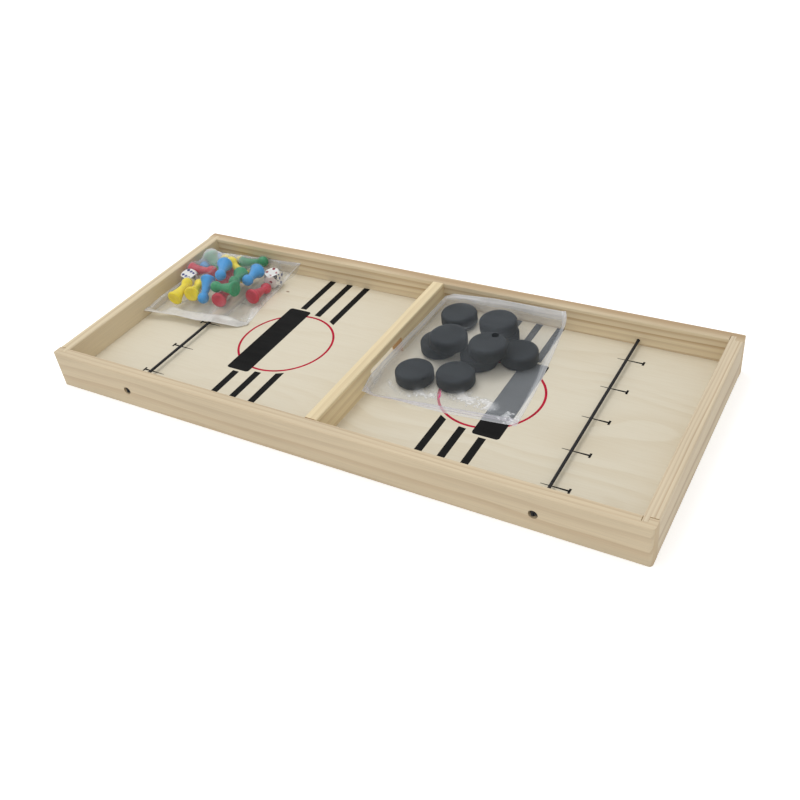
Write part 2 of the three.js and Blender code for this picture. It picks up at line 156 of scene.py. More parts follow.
def noiseNode(tree, place, scale=1.0, detail=2.0, roughness=0.5, output="Fac"):
    return shaderNode(tree, "ShaderNodeTexNoise", {
        "Vector": place, "Scale": scale, "Detail": detail, "Roughness": roughness}).outputs[output]


def noiseTone(tree, noiseValue, low, high):
    # noise seldom leaves this range
    return rangeNode(tree, noiseValue, 0.3, 0.7, low, high, "LINEAR")


def newGroup(name, inputs, outputs):
    group = bpy.data.node_groups.new(name, "ShaderNodeTree")
    for label, kind, value in inputs:
        socket = group.interface.new_socket(name=label, in_out="INPUT", socket_type="NodeSocket" + kind)
        if value is not None:
            socket.default_value = value
    for label, kind in outputs:
        group.interface.new_socket(name=label, in_out="OUTPUT", socket_type="NodeSocket" + kind)
    return group, group.nodes.new("NodeGroupInput").outputs, group.nodes.new("NodeGroupOutput")


def useGroup(tree, group, inputs):
    return shaderNode(tree, "ShaderNodeGroup", inputs, node_tree=group).outputs


def newMaterial(name, principled):
    material = bpy.data.materials.new(name)
    material.use_nodes = True
    tree = material.node_tree
    shader = tree.nodes["Principled BSDF"]
    for socket, value in principled.items():
        shader.inputs[socket].default_value = value
    return material, tree, shader


def bumpNode(tree, shader, height, strength, distance):
    bump = shaderNode(tree, "ShaderNodeBump", {"Height": height, "Strength": strength, "Distance": distance})
    tree.links.new(bump.outputs["Normal"], shader.inputs["Normal"])


# Mesh helpers

def linkPiece(name, mesh, material, smooth):
    mesh.materials.append(material)
    if smooth:
        mesh.shade_smooth()
    piece = bpy.data.objects.new(name, mesh)
    scene.collection.objects.link(piece)
    return piece


def newPiece(name, points, faces, material, smooth=True):
    mesh = bpy.data.meshes.new(name)
    mesh.from_pydata([tuple(p) for p in points], [], faces)
    mesh.validate()
    mesh.update()
    return linkPiece(name, mesh, material, smooth)


def finishMesh(name, working, material, smooth=False):
    mesh = bpy.data.meshes.new(name)
    working.to_mesh(mesh)
    working.free()
    return linkPiece(name, mesh, material, smooth)


def applyModifiers(piece):
    graph = bpy.context.evaluated_depsgraph_get()
    mesh = bpy.data.meshes.new_from_object(piece.evaluated_get(graph))
    piece.modifiers.clear()
    piece.data = mesh


def stitch(low, high, count):
    # faces between two rings of points, each given by its first index
    return [(low + step, low + (step + 1) % count, high + (step + 1) % count, high + step)
            for step in range(count)]


def gridFaces(index):
    # the four corners of each cell in a grid of point numbers
    corners = (index[:-1, :-1], index[:-1, 1:], index[1:, 1:], index[1:, :-1])
    return np.stack(corners, axis=-1).reshape(-1, 4)


def roundAngles(steps):
    return [2 * math.pi * step / steps for step in range(steps)]


def latheMesh(outline, segments):
    # outline of (radius, height) pairs that starts and ends on the axis
    points = [(0, 0, outline[0][1])]
    for radius, height in outline[1:-1]:
        points += [(radius * math.cos(a), radius * math.sin(a), height) for a in roundAngles(segments)]
    points.append((0, 0, outline[-1][1]))
    last = len(points) - 1
    top = last - segments
    faces = [(0, 1 + (step + 1) % segments, 1 + step) for step in range(segments)]
    for low in range(1, top, segments):
        faces += stitch(low, low + segments, segments)
    faces += [(top + step, top + (step + 1) % segments, last) for step in range(segments)]
    return points, faces


def tubeMesh(path, radius, sides=14, closed=False):
    # round section carried along a list of points, with flat ends where it is open
    path = [Vector(p) for p in path]
    count = len(path)
    points, faces = [], []
    side = None
    for index, place in enumerate(path):
        before = path[index - 1] if closed or index else place
        after = path[(index + 1) % count] if closed or index < count - 1 else place
        forward = (after - before).normalized()
        if side is None:
            side = forward.orthogonal().normalized()
        side = (side - forward * side.dot(forward)).normalized()
        other = forward.cross(side)
        points += [place + (side * math.cos(a) + other * math.sin(a)) * radius for a in roundAngles(sides)]
    for index in range(count if closed else count - 1):
        faces += stitch(index * sides, (index + 1) % count * sides, sides)
    if not closed:
        faces += [tuple(reversed(range(sides))), tuple(range((count - 1) * sides, count * sides))]
    return points, faces


# Studio

studio = {
    "floorSize": 6.0,
    "floorColour": (0.86, 0.86, 0.86, 1),
    "floorRoughness": 0.9,
    "floorLift": 0.44,             # glow for the camera and reflections alone: the floor reads white
    "worldStrength": 0.69,
    "lamps": {                     # size, power and place
        "key": (0.7, 6.3, (-0.45, 0.25, 1.5)),
        "fill": (1.8, 5.0, (-0.1, -1.4, 1.0)),
    },
}


def seenRays(tree):
    rays = tree.nodes.new("ShaderNodeLightPath").outputs
    seen = mathNode(tree, "MAXIMUM", rays["Is Camera Ray"], rays["Is Glossy Ray"])
    return mathNode(tree, "MAXIMUM", seen, rays["Is Transmission Ray"])


def buildStudio(values):
    half = values["floorSize"] / 2
    corners = [(-half, -half, 0), (half, -half, 0), (half, half, 0), (-half, half, 0)]
    material, tree, shader = newMaterial("floorPaper", {
        "Base Color": values["floorColour"], "Roughness": values["floorRoughness"],
        "Emission Color": (1, 1, 1, 1)})
    tree.links.new(multiply(tree, seenRays(tree), values["floorLift"]), shader.inputs["Emission Strength"])
    floor = newPiece("floor", corners, [(0, 1, 2, 3)], material, smooth=False)

    world = bpy.data.worlds.new("studioWorld")
    world.use_nodes = True
    scene.world = world
    tree = world.node_tree
    strength = rangeNode(tree, seenRays(tree), 0, 1, values["worldStrength"], 1.0, "LINEAR")
    background = tree.nodes["Background"]
    background.inputs["Color"].default_value = (1, 1, 1, 1)
    tree.links.new(strength, background.inputs["Strength"])

    for name, (size, power, place) in values["lamps"].items():
        data = bpy.data.lights.new(name + "Light", "AREA")
        data.size = size
        data.energy = power
        lamp = bpy.data.objects.new(name + "Light", data)
        lamp.location = place
        lamp.rotation_euler = (-lamp.location).to_track_quat("-Z", "Y").to_euler()
        scene.collection.objects.link(lamp)


buildStudio(studio)
print("studio lit")


# Grain of solid pine: growth rings round a pith line beside the piece, fibres along X

pineRings = {
    # how far noise is stretched: along the fibres, then across them twice
    "sway": (5, 28, 28), "fibre": (22, 1100, 1100), "patch": (6, 55, 55),
    "taper": 0.012,                # how little the rings change along the piece
    # a ring darkens slowly over the first range of its width and ends sharply over the second
    "darken": (0.3, 0.86), "ringEnd": (0.9, 1.0),
    "faintYear": 0.25,
    "fibreTone": (0.93, 1.04), "patchTone": (0.95, 1.03),
    "endTurn": (0.75, 0.98), "endShare": 0.8,
    "roughness": (0.62, 0.48),     # early wood, late wood
    "lateHeight": 0.4,             # height of late wood over the fibres' own
}


def buildPineGrain(values):
    group, given, result = newGroup("pineGrain", [
        ("Vector", "Vector", None), ("Normal", "Vector", None), ("Pith", "Vector", None),
        ("Ring Width", "Float", 0.004), ("Ring Share", "Float", 0.5), ("Bend", "Float", 0.006),
        ("Pale", "Color", (0.7, 0.6, 0.4, 1)), ("Late", "Color", (0.5, 0.35, 0.18, 1)),
        ("End Grain", "Color", (0.45, 0.26, 0.12, 1)),
    ], [("Color", "Color"), ("Roughness", "Float"), ("Height", "Float")])
    slow = noiseNode(group, stretched(group, given["Vector"], values["sway"]), output="Color")
    sway = scaled(group, vectorNode(group, "SUBTRACT", slow, (0.5, 0.5, 0.5)), given["Bend"])
    bent = vectorNode(group, "ADD", vectorNode(group, "SUBTRACT", given["Vector"], given["Pith"]), sway)
    distance = lengthOf(group, stretched(group, bent, (values["taper"], 1, 1)))
    rings = mathNode(group, "DIVIDE", distance, given["Ring Width"])
    phase = mathNode(group, "FRACT", rings)
    late = multiply(group, rangeNode(group, phase, *values["darken"]),
                    rangeNode(group, phase, *values["ringEnd"], 1, 0))
    yearNoise = shaderNode(group, "ShaderNodeTexWhiteNoise", {"W": mathNode(group, "FLOOR", rings)},
                           noise_dimensions="1D").outputs["Value"]
    year = rangeNode(group, yearNoise, 0, 1, values["faintYear"], 1.0, "LINEAR")
    late = multiply(group, multiply(group, late, year), given["Ring Share"])
    fibre = noiseNode(group, stretched(group, given["Vector"], values["fibre"]), detail=3.0, roughness=0.6)
    patch = noiseNode(group, stretched(group, given["Vector"], values["patch"]), detail=1.0)
    tone = multiply(group, noiseTone(group, fibre, *values["fibreTone"]),
                    noiseTone(group, patch, *values["patchTone"]))
    colour = scaled(group, mixColours(group, late, given["Pale"], given["Late"]), tone)
    along = shaderNode(group, "ShaderNodeSeparateXYZ", {0: given["Normal"]}).outputs["X"]
    along = mathNode(group, "ABSOLUTE", along)
    endShare = rangeNode(group, along, *values["endTurn"], 0.0, values["endShare"])
    roughness = rangeNode(group, late, 0, 1, *values["roughness"], "LINEAR")
    height = add(group, multiply(group, late, values["lateHeight"]), fibre)
    group.links.new(mixColours(group, endShare, colour, given["End Grain"]), result.inputs["Color"])
    group.links.new(roughness, result.inputs["Roughness"])
    group.links.new(height, result.inputs["Height"])
    return group


# Uneven tone of paint, plastic and film: soft clouds and fine specks

def buildMottle():
    group, given, result = newGroup("mottle", [
        ("Vector", "Vector", None), ("Cloud Scale", "Float", 120.0), ("Speck Scale", "Float", 1400.0),
        ("Low", "Float", 0.9), ("High", "Float", 1.05),
    ], [("Tone", "Float"), ("Height", "Float")])
    cloud = noiseNode(group, given["Vector"], given["Cloud Scale"])
    speck = noiseNode(group, given["Vector"], given["Speck Scale"], 3.0, 0.6)
    both = add(group, multiply(group, cloud, 0.7), multiply(group, speck, 0.3))
    tone = shaderNode(group, "ShaderNodeMapRange", {
        "Value": both, "From Min": 0.35, "From Max": 0.65, "To Min": given["Low"], "To Max": given["High"]})
    group.links.new(tone.outputs["Result"], result.inputs["Tone"])
    group.links.new(both, result.inputs["Height"])
    return group


pineGrain = buildPineGrain(pineRings)
mottle = buildMottle()


def objectPlace(tree):
    return tree.nodes.new("ShaderNodeTexCoord").outputs["Object"]


def toned(tree, colour, tone):
    return scaled(tree, colour[:3], tone)


def spotDistance(tree, place, centre, reach, height=0.0):
    # from 0 in the middle of an oval spot to 1 at its edge; centre and reach in mm
    away = vectorNode(tree, "SUBTRACT", place, (centre[0] * mm, centre[1] * mm, height))
    return lengthOf(tree, stretched(tree, away, (1 / (reach[0] * mm), 1 / (reach[1] * mm), 0)))


# Pine rails and divider

pine = {
    "pale": (0.705, 0.595, 0.410, 1),
    "late": (0.425, 0.275, 0.140, 1),
    "endGrain": (0.590, 0.450, 0.270, 1),
    "jambGrain": (0.470, 0.245, 0.100, 1),    # the sawn sides of the gate
    "bumpStrength": 0.25,
    "bumpDepth": 0.1 * mm,
    # grain along X or Y, pith line beside the piece in mm, ring width in mm, share of the late wood, tint
    "pieces": {
        "front_rail": ("X", (0, 70, -45), 3.4, 0.42, (0.95, 0.93, 0.93)),
        "back_rail": ("X", (0, 80, -50), 5.4, 0.85, (1.01, 1.01, 1.01)),
        "left_end_rail": ("Y", (0, 222, -40), 4.6, 0.5, (1.0, 1.0, 1.0)),
        "right_end_rail": ("Y", (0, -235, -60), 2.6, 0.75, (1.02, 1.02, 1.06)),
        "divider": ("Y", (0, 40, -20), 5.5, 0.42, (1.15, 1.14, 1.06)),
    },
}


def pineMaterial(name, values, grain, pith, ringWidth, ringShare, tint):
    material, tree, shader = newMaterial(name + "Pine", {"IOR": 1.5, "Specular IOR Level": 0.35})
    turn = (0, 0, 0) if grain == "X" else (0, 0, math.pi / 2)
    place = tree.nodes.new("ShaderNodeTexCoord").outputs
    vector, normal = (shaderNode(tree, "ShaderNodeMapping", {
        "Vector": place[output], "Rotation": turn}).outputs[0] for output in ("Object", "Normal"))
    pale, late = (tuple(c * t for c, t in zip(values[key], (*tint, 1))) for key in ("pale", "late"))
    grainOut = useGroup(tree, pineGrain, {
        "Vector": vector, "Normal": normal, "Pith": [c * mm for c in pith],
        "Ring Width": ringWidth * mm, "Ring Share": ringShare, "Pale": pale, "Late": late,
        "End Grain": values["jambGrain" if name == "divider" else "endGrain"]})
    tree.links.new(grainOut["Color"], shader.inputs["Base Color"])
    tree.links.new(grainOut["Roughness"], shader.inputs["Roughness"])
    bumpNode(tree, shader, grainOut["Height"], values["bumpStrength"], values["bumpDepth"])
    return material


def dress(node, material):
    nodes[node].data.materials.clear()
    nodes[node].data.materials.append(material)


for node, (grain, pith, ringWidth, ringShare, tint) in pine["pieces"].items():
    dress(node, pineMaterial(node, pine, grain, pith, ringWidth, ringShare, tint))
print("rails and divider in pine")


# Plywood board: a rotary-cut face with faint long figure and one small knot

ply = {
    "pale": (0.725, 0.665, 0.530, 1),
    "figure": (0.630, 0.540, 0.385, 1),
    "knot": (0.180, 0.090, 0.040, 1),
    "knotPlace": (-140.5, 68.5),    # mm
    "knotReach": (2.2, 1.1),        # mm
    "knotEdge": (0.35, 1.2),        # shares of its reach where it begins and ends to fade
    "knotShare": 0.9,
    # how far noise is stretched: along the board, then across it twice
    "sway": (4, 14, 14), "fibre": (40, 900, 900), "fade": (7, 12, 12),
    "lineCount": 32.0,              # in a metre of width
    "lineSway": 9.0,
    "darken": (0.2, 0.9), "lineEnd": (0.92, 1.0),
    "figureShare": (0.03, 0.36), "fibreShare": (0.0, 0.22),
    "bumpStrength": 0.15,
    "bumpDepth": 0.05 * mm,
}


def plyMaterial(values):
    material, tree, shader = newMaterial("plyFace", {"Roughness": 0.55, "Specular IOR Level": 0.35})
    place = objectPlace(tree)
    sway = multiply(tree, noiseNode(tree, stretched(tree, place, values["sway"])), values["lineSway"])
    across = shaderNode(tree, "ShaderNodeSeparateXYZ", {0: place}).outputs["Y"]
    lines = mathNode(tree, "FRACT", add(tree, multiply(tree, across, values["lineCount"]), sway))
    figure = multiply(tree, rangeNode(tree, lines, *values["darken"]),
                      rangeNode(tree, lines, *values["lineEnd"], 1, 0))
    fibre = noiseNode(tree, stretched(tree, place, values["fibre"]), detail=3.0, roughness=0.6)
    fade = noiseNode(tree, stretched(tree, place, values["fade"]), detail=1.0)
    share = multiply(tree, figure, rangeNode(tree, fade, 0.35, 0.7, *values["figureShare"]))
    share = add(tree, share, rangeNode(tree, fibre, 0.35, 0.75, *values["fibreShare"]))
    colour = mixColours(tree, share, values["pale"], values["figure"])
    knot = spotDistance(tree, place, values["knotPlace"], values["knotReach"], boardTop)
    knotShare = rangeNode(tree, knot, *values["knotEdge"], values["knotShare"], 0.0)
    colour = mixColours(tree, knotShare, colour, values["knot"])
    tree.links.new(colour, shader.inputs["Base Color"])
    bumpNode(tree, shader, add(tree, fibre, share), values["bumpStrength"], values["bumpDepth"])
    return material


dress("play_board", plyMaterial(ply))
print("plywood board")


# Printed marks: a ring, a bar, three stripes to each long rail and five nails in each half

marks = {
    "blackThickness": 0.06,        # all in mm
    "redThickness": 0.04,
    "ringFromCentre": 94.4, "ringRadius": 39.9, "ringLine": 1.9, "ringSteps": 128,
    "barFromCentre": 110.55, "barWidth": 21.5, "barLength": 93.2, "barCorner": 2.5,
    "stripeFromCentre": (73.6, 91.6, 109.8), "stripeWidth": 6.0,
    "stripeClearRadius": 43.5, "stripeBarGap": 2.1,
    "nailPitch": 37.5, "nailCount": 5, "nailTip": 164.5, "nailEnd": 185.7,
    "nailTipWidth": 0.4, "nailShankWidth": 1.6, "nailHeadThickness": 1.6, "nailHeadWidth": 4.8,
    "blackInk": (0.009, 0.009, 0.009, 1),
    "redInk": (0.450, 0.012, 0.040, 1),
    "inkTone": (0.8, 1.25), "inkCloudScale": 220.0, "inkStretch": (0.2, 1, 1),
    "inkBump": (0.12, 0.05 * mm),
}


def inkMaterial(name, colour, values):
    material, tree, shader = newMaterial(name, {"Roughness": 0.55, "Specular IOR Level": 0.05})
    place = stretched(tree, objectPlace(tree), values["inkStretch"])
    low, high = values["inkTone"]
    tone = useGroup(tree, mottle, {"Vector": place, "Cloud Scale": values["inkCloudScale"],
                                   "Low": low, "High": high})
    tree.links.new(toned(tree, colour, tone["Tone"]), shader.inputs["Base Color"])
    bumpNode(tree, shader, tone["Height"], *values["inkBump"])
    return material


def arc(centreX, centreY, radius, fromDegrees, toDegrees, steps):
    angles = [math.radians(fromDegrees + (toDegrees - fromDegrees) * k / steps) for k in range(steps + 1)]
    return [(centreX + radius * math.cos(a), centreY + radius * math.sin(a)) for a in angles]


def markOutlines(values):
    # outlines of the right half in mm, walked counter-clockwise
    corner = values["barCorner"]
    reachX = values["barWidth"] / 2 - corner
    reachY = values["barLength"] / 2 - corner
    bar = []
    for signX, signY, start in ((1, 1, 0), (-1, 1, 90), (-1, -1, 180), (1, -1, 270)):
        bar += arc(values["barFromCentre"] + signX * reachX, signY * reachY, corner, start, start + 90, 6)
    outlines = [bar]
    for centre in values["stripeFromCentre"]:
        right, left = (centre + side * values["stripeWidth"] / 2 for side in (1, -1))
        if abs(centre - values["barFromCentre"]) < values["barWidth"] / 2:
            ends = [values["barLength"] / 2 + values["stripeBarGap"]] * 2
        else:
            ends = [math.sqrt(values["stripeClearRadius"] ** 2 - (x - values["ringFromCentre"]) ** 2)
                    for x in (right, left)]
        far = fieldBack / mm
        outlines.append([(right, ends[0]), (right, far), (left, far), (left, ends[1])])
        outlines.append([(left, -ends[1]), (left, -far), (right, -far), (right, -ends[0])])
    tip, end = values["nailTip"], values["nailEnd"]
    neck = end - values["nailHeadThickness"]
    thin, shank, head = (values[key] / 2 for key in ("nailTipWidth", "nailShankWidth", "nailHeadWidth"))
    for index in range(values["nailCount"]):
        y = (index - (values["nailCount"] - 1) / 2) * values["nailPitch"]
        half = [(tip, thin), (neck, shank), (neck, head), (end, head)]
        outlines.append([(x, y - out) for x, out in half] + [(x, y + out) for x, out in reversed(half)])
    return outlines


def raisedMark(name, outlines, material, values):
    mesh = bmesh.new()
    top = boardTop + values["blackThickness"] * mm
    for outline in outlines:
        corners = [mesh.verts.new((x * mm, y * mm, boardTop)) for x, y in outline]
        face = mesh.faces.new(corners)
        lifted = bmesh.ops.extrude_face_region(mesh, geom=[face])["geom"]
        for part in lifted:
            if isinstance(part, bmesh.types.BMVert):
                part.co.z = top
    bmesh.ops.recalc_face_normals(mesh, faces=mesh.faces)
    return finishMesh(name, mesh, material)


def raisedRing(name, end, material, values):
    # a flat band: outer and inner circle, lifted by the ink's thickness
    steps = values["ringSteps"]
    low, high = boardTop, boardTop + values["redThickness"] * mm
    points, faces = [], []
    for side, z in ((-0.5, low), (0.5, low), (0.5, high), (-0.5, high)):
        circle = arc(end * values["ringFromCentre"], 0, values["ringRadius"] + side * values["ringLine"],
                     0, 360, steps)
        points += [(x * mm, y * mm, z) for x, y in circle[:-1]]
    for loop in range(4):
        faces += stitch(loop * steps, (loop + 1) % 4 * steps, steps)
    return newPiece(name, points, faces, material, smooth=False)


blackInk, redInk = (inkMaterial(name, marks[name], marks) for name in ("blackInk", "redInk"))
for end, label in ((-1, "left"), (1, "right")):
    outlines = [[(end * x, y) for x, y in outline[::end]] for outline in markOutlines(marks)]
    for piece in (raisedMark(label + "_black_marks", outlines, blackInk, marks),
                  raisedRing(label + "_red_ring", end, redInk, marks)):
        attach(piece, "tray")
print("printed marks")


# Slings: each leg is a row of short lengths from the rail to the middle

sling = {
    "drawShares": (0, 0.055, 0.25, 0.75, 0.945, 1),    # shares of the leg from the rail to the middle
    "sides": 20,
    "stationPitch": 2.5 * mm,
    "braidColour": (0.011, 0.011, 0.012, 1),
    "braidHighlight": (0.035, 0.035, 0.038, 1),
    "braidTurns": 900.0,
    "braidLean": 0.6, "braidWobble": 0.4, "braidShare": 0.5,
    "braidBump": (0.5, 0.12 * mm),
    "knotSpread": 0.8 * mm,        # overhand knot: reach of its loops, its depth and the squeezed cord
    "knotDepth": 1.45 * mm,
    "knotCord": 0.92 * mm,
    "knotSteps": 72, "knotSides": 12,
}


def elasticMaterial(values):
    material, tree, shader = newMaterial("elasticBraid", {"Roughness": 0.8, "Specular IOR Level": 0.3})
    place = objectPlace(tree)
    strands = []
    for lean in (values["braidLean"], -values["braidLean"]):
        slanted = shaderNode(tree, "ShaderNodeMapping", {"Vector": place, "Rotation": (lean, 0, lean)})
        wave = shaderNode(tree, "ShaderNodeTexWave", {
            "Vector": slanted.outputs[0], "Scale": values["braidTurns"], "Distortion": values["braidWobble"]},
            wave_type="BANDS", bands_direction="Y")
        strands.append(wave.outputs["Fac"])
    weave = mathNode(tree, "MAXIMUM", *strands)
    share = multiply(tree, weave, values["braidShare"])
    tree.links.new(mixColours(tree, share, values["braidColour"], values["braidHighlight"]),
                   shader.inputs["Base Color"])
    bumpNode(tree, shader, weave, *values["braidBump"])
    return material


def straightTube(name, x, z, fromY, toY, radius, values):
    steps = max(1, round(abs(toY - fromY) / values["stationPitch"]))
    path = [(x, fromY + (toY - fromY) * step / steps, z) for step in range(steps + 1)]
    points, faces = tubeMesh(path, radius, values["sides"])
    return newPiece(name, points, faces, elastic)


def cordLine(label):
    # place, height and radius of a sling, and the ends of its middle part
    low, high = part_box(f"{label}_sling_middle")
    return (low.x + high.x) / 2, (low.z + high.z) / 2, (high.x - low.x) / 2, low.y, high.y


def slingLeg(label, side, values):
    node = f"{label}_sling_{'front' if side < 0 else 'back'}_leg"
    x, z, radius, front, back = cordLine(label)
    wall = side * fieldBack
    pulled = side * back
    shares = values["drawShares"]
    for number, (near, far) in enumerate(zip(shares, shares[1:]), 1):
        nearY = wall + (pulled - wall) * near
        farY = wall + (pulled - wall) * far
        piece = straightTube(f"{node}_{number}", x, z, nearY, farY, radius, values)
        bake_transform(piece)
        if number == 1:
            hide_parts(node)


def slingMiddle(label, values):
    node = f"{label}_sling_middle"
    x, z, radius, front, back = cordLine(label)
    piece = straightTube(node + "_cord", x, z, front, back, radius, values)
    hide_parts(node)
    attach(piece, f"{label}_sling_pull")


def slingKnot(label, side, values):
    node = f"{label}_sling_{'front' if side < 0 else 'back'}_knot"
    x, z, radius, front, back = cordLine(label)
    low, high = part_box(node)
    spread, depth, cord = values["knotSpread"], values["knotDepth"], values["knotCord"]
    centreY = max(abs(low.y), abs(high.y)) - depth - cord
    loop = [(x + spread * (math.sin(t) + 2 * math.sin(2 * t)),
             side * (centreY + depth * math.sin(3 * t)),
             z + spread * (math.cos(t) - 2 * math.cos(2 * t))) for t in roundAngles(values["knotSteps"])]
    # straight stub into the rail, and the free end that comes out of the knot
    stub = [(x, side * (fieldBack + (centreY - fieldBack) * k / 4), z) for k in range(5)]
    tail = [(x + spread * (0.6 + 0.7 * k), side * (centreY + depth * (0.2 + 0.15 * k)), z - spread * 0.5 * k)
            for k in range(4)]
    points, faces = [], []
    for path, size, closed in ((loop, cord, True), (stub, radius, False), (tail, cord, False)):
        more, moreFaces = tubeMesh(path, size, values["knotSides"], closed)
        faces += [tuple(index + len(points) for index in face) for face in moreFaces]
        points += more
    piece = newPiece(node + "_tied", points, faces, elastic)
    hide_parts(node)
    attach(piece, "tray")


elastic = elasticMaterial(sling)
for label in ("left", "right"):
    slingMiddle(label, sling)
    for side in (-1, 1):
        slingLeg(label, side, sling)
        slingKnot(label, side, sling)
print("slings strung and knotted")


# Pucks: turned discs with rounded rims

puck = {
    "rimRadius": 2.3 * mm,
    "rimSteps": 6,
    "segments": 72,
    "faceDish": 0.15 * mm,
    "colour": (0.011, 0.013, 0.015, 1),
    "roughness": 0.5,
    "specularLevel": 0.03,
    "tone": (0.75, 1.3), "toneStretch": (0.35, 1, 1),
}


def paintMaterial(name, colour, roughness, low=0.88, high=1.08, stretch=(1, 1, 1), specularLevel=0.4,
                  bump=(0.12, 0.06 * mm)):
    material, tree, shader = newMaterial(name, {"Specular IOR Level": specularLevel, "IOR": 1.5})
    place = stretched(tree, objectPlace(tree), stretch)
    tone = useGroup(tree, mottle, {"Vector": place, "Low": low, "High": high})
    tree.links.new(toned(tree, colour, tone["Tone"]), shader.inputs["Base Color"])
    tree.links.new(rangeNode(tree, tone["Tone"], low, high, roughness + 0.08, roughness - 0.05, "LINEAR"),
                   shader.inputs["Roughness"])
    bumpNode(tree, shader, tone["Height"], *bump)
    return material


def puckOutline(radius, thickness, values):
    rim = values["rimRadius"]
    low = [(0, values["faceDish"]), (radius * 0.5, values["faceDish"] * 0.6)]
    low += arc(radius - rim, rim, rim, -90, 0, values["rimSteps"])
    return low + [(outlineRadius, thickness - height) for outlineRadius, height in reversed(low)]


def loosePieces(kind):
    return sorted(name for name in nodes if name.startswith(kind + "_") and name != kind + "_bag")


def addPucks(values):
    material = paintMaterial("charcoalPaint", values["colour"], values["roughness"], *values["tone"],
                             values["toneStretch"], values["specularLevel"])
    for node in loosePieces("puck"):
        low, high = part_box(node)
        radius = (high.x - low.x) / 2
        points, faces = latheMesh(puckOutline(radius, high.z - low.z, values), values["segments"])
        centre = Vector(((low.x + high.x) / 2, (low.y + high.y) / 2, low.z))
        piece = newPiece(node + "_turned", [centre + Vector(p) for p in points], faces, material)
        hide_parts(node)
        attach(piece, "puck_bag_lift")


addPucks(puck)
print("pucks")


# Pawns: turned pieces that lie as their solids lie

pawn = {
    # radius and height shares of the outline
    "outlineShares": ((0, 0.012), (0.6, 0.012), (0.72, 0), (0.92, 0), (1, 0.028), (1, 0.085), (0.83, 0.16),
                      (0.62, 0.35), (0.47, 0.58), (0.5, 0.655), (0.67, 0.73), (0.74, 0.815), (0.64, 0.91),
                      (0.37, 0.975), (0, 1)),
    "curveSteps": 4,
    "segments": 48,
    "roughness": 0.4,
    "colours": {
        "yellow": (0.860, 0.690, 0.012, 1),
        "blue": (0.030, 0.290, 0.660, 1),
        "green": (0.008, 0.235, 0.085, 1),
        "red": (0.520, 0.016, 0.040, 1),
    },
}


def smoothOutline(shares, steps, firstCurved=4):
    # straight to the rim of the base, then one flowing curve through the rest
    points = [np.array(p, float) for p in shares]
    smooth = [tuple(p) for p in points[:firstCurved]]
    for index in range(firstCurved, len(points) - 1):
        before, start, end = points[index - 1], points[index], points[index + 1]
        after = points[index + 2] if index + 2 < len(points) else end + (end - start) * (-1, 1)
        for step in range(steps):
            t = step / steps
            curve = 0.5 * (2 * start + (end - before) * t
                           + (2 * before - 5 * start + 4 * end - after) * t ** 2
                           + (3 * start - before - 3 * end + after) * t ** 3)
            smooth.append((max(0.0, curve[0]), min(1.0, curve[1])))
    smooth.append(tuple(points[-1]))
    return smooth


def nodePoints(node):
    count = len(nodes[node].data.vertices)
    points = np.zeros(count * 3, np.float32)
    nodes[node].data.vertices.foreach_get("co", points)
    return np.unique(np.round(points.reshape(-1, 3).astype(float), 7), axis=0)


def lyingAxis(node):
    # foot, direction to the head, height and radius of a turned piece, from its solid
    points = nodePoints(node)
    centre = points.mean(0)
    _, axes = np.linalg.eigh(np.cov((points - centre).T))
    axis = axes[:, 2]
    along = (points - centre) @ axis
    wide = np.linalg.norm(points - centre - np.outer(along, axis), axis=1)
    if along[wide.argmax()] > 0:
        axis, along = -axis, -along
    return centre + axis * along.min(), axis, along.max() - along.min(), wide.max()


def addPawns(values):
    outline = smoothOutline(values["outlineShares"], values["curveSteps"])
    for colour, paint in values["colours"].items():
        material = paintMaterial(colour + "Paint", paint, values["roughness"])
        for number in range(1, 5):
            node = f"pawn_{colour}_{number}"
            foot, axis, height, radius = lyingAxis(node)
            turned = [(share * radius, level * height) for share, level in outline]
            points, faces = latheMesh(turned, values["segments"])
            turn = Vector((0, 0, 1)).rotation_difference(Vector(axis))
            place = Matrix.Translation(Vector(foot)) @ turn.to_matrix().to_4x4()
            piece = newPiece(node + "_turned", [place @ Vector(p) for p in points], faces, material)
            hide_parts(node)
            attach(piece, "pawn_bag_lift")


addPawns(pawn)
print("pawns")


# Dice: rounded cubes with sunk, painted pips

die = {
    "side": 12.6 * mm,
    "cornerBall": 2.6 * mm,
    "middleBallShare": 0.53,
    "turns": {"die_1": (12, 8), "die_2": (35, 12)},    # degrees about Z, then the tilt about X
    "faces": {"die_1": (4, 1, 5), "die_2": (6, 2, 4)},    # pips on the top, front and right face
    "pipRadius": 1.4 * mm,
    "pipDepth": 0.45 * mm,
    "pipSpreadShare": 0.27,
    "cutSteps": 40,
    "white": (0.80, 0.79, 0.76, 1),
    "redPip": (0.330, 0.010, 0.030, 1),
    "bluePip": (0.020, 0.035, 0.210, 1),
}


def pipPlaces(count):
    # places of the pips on one face, in spreads from its centre
    corners = [(-1, -1), (1, 1), (-1, 1), (1, -1)]
    places = corners[:count - count % 2]
    if count == 6:
        places = corners + [(-1, 0), (1, 0)]
    return places + [(0, 0)] * (count % 2)


def diePlace(node, values):
    low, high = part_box(node)
    turn, tilt = values["turns"][node]
    return Matrix.Translation((low + high) / 2) @ Matrix.Rotation(math.radians(turn), 4, "Z") \
        @ Matrix.Rotation(math.radians(tilt), 4, "X")


def dieBalls(node, values):
    # balls that fill a die: one in the middle and one in each corner
    place = diePlace(node, values)
    reach = values["side"] / 2 - values["cornerBall"]
    balls = [(np.array(place.translation), values["side"] * values["middleBallShare"])]
    for corner in ((x, y, z) for x in (-1, 1) for y in (-1, 1) for z in (-1, 1)):
        balls.append((np.array(place @ (Vector(corner) * reach)), values["cornerBall"]))
    return balls


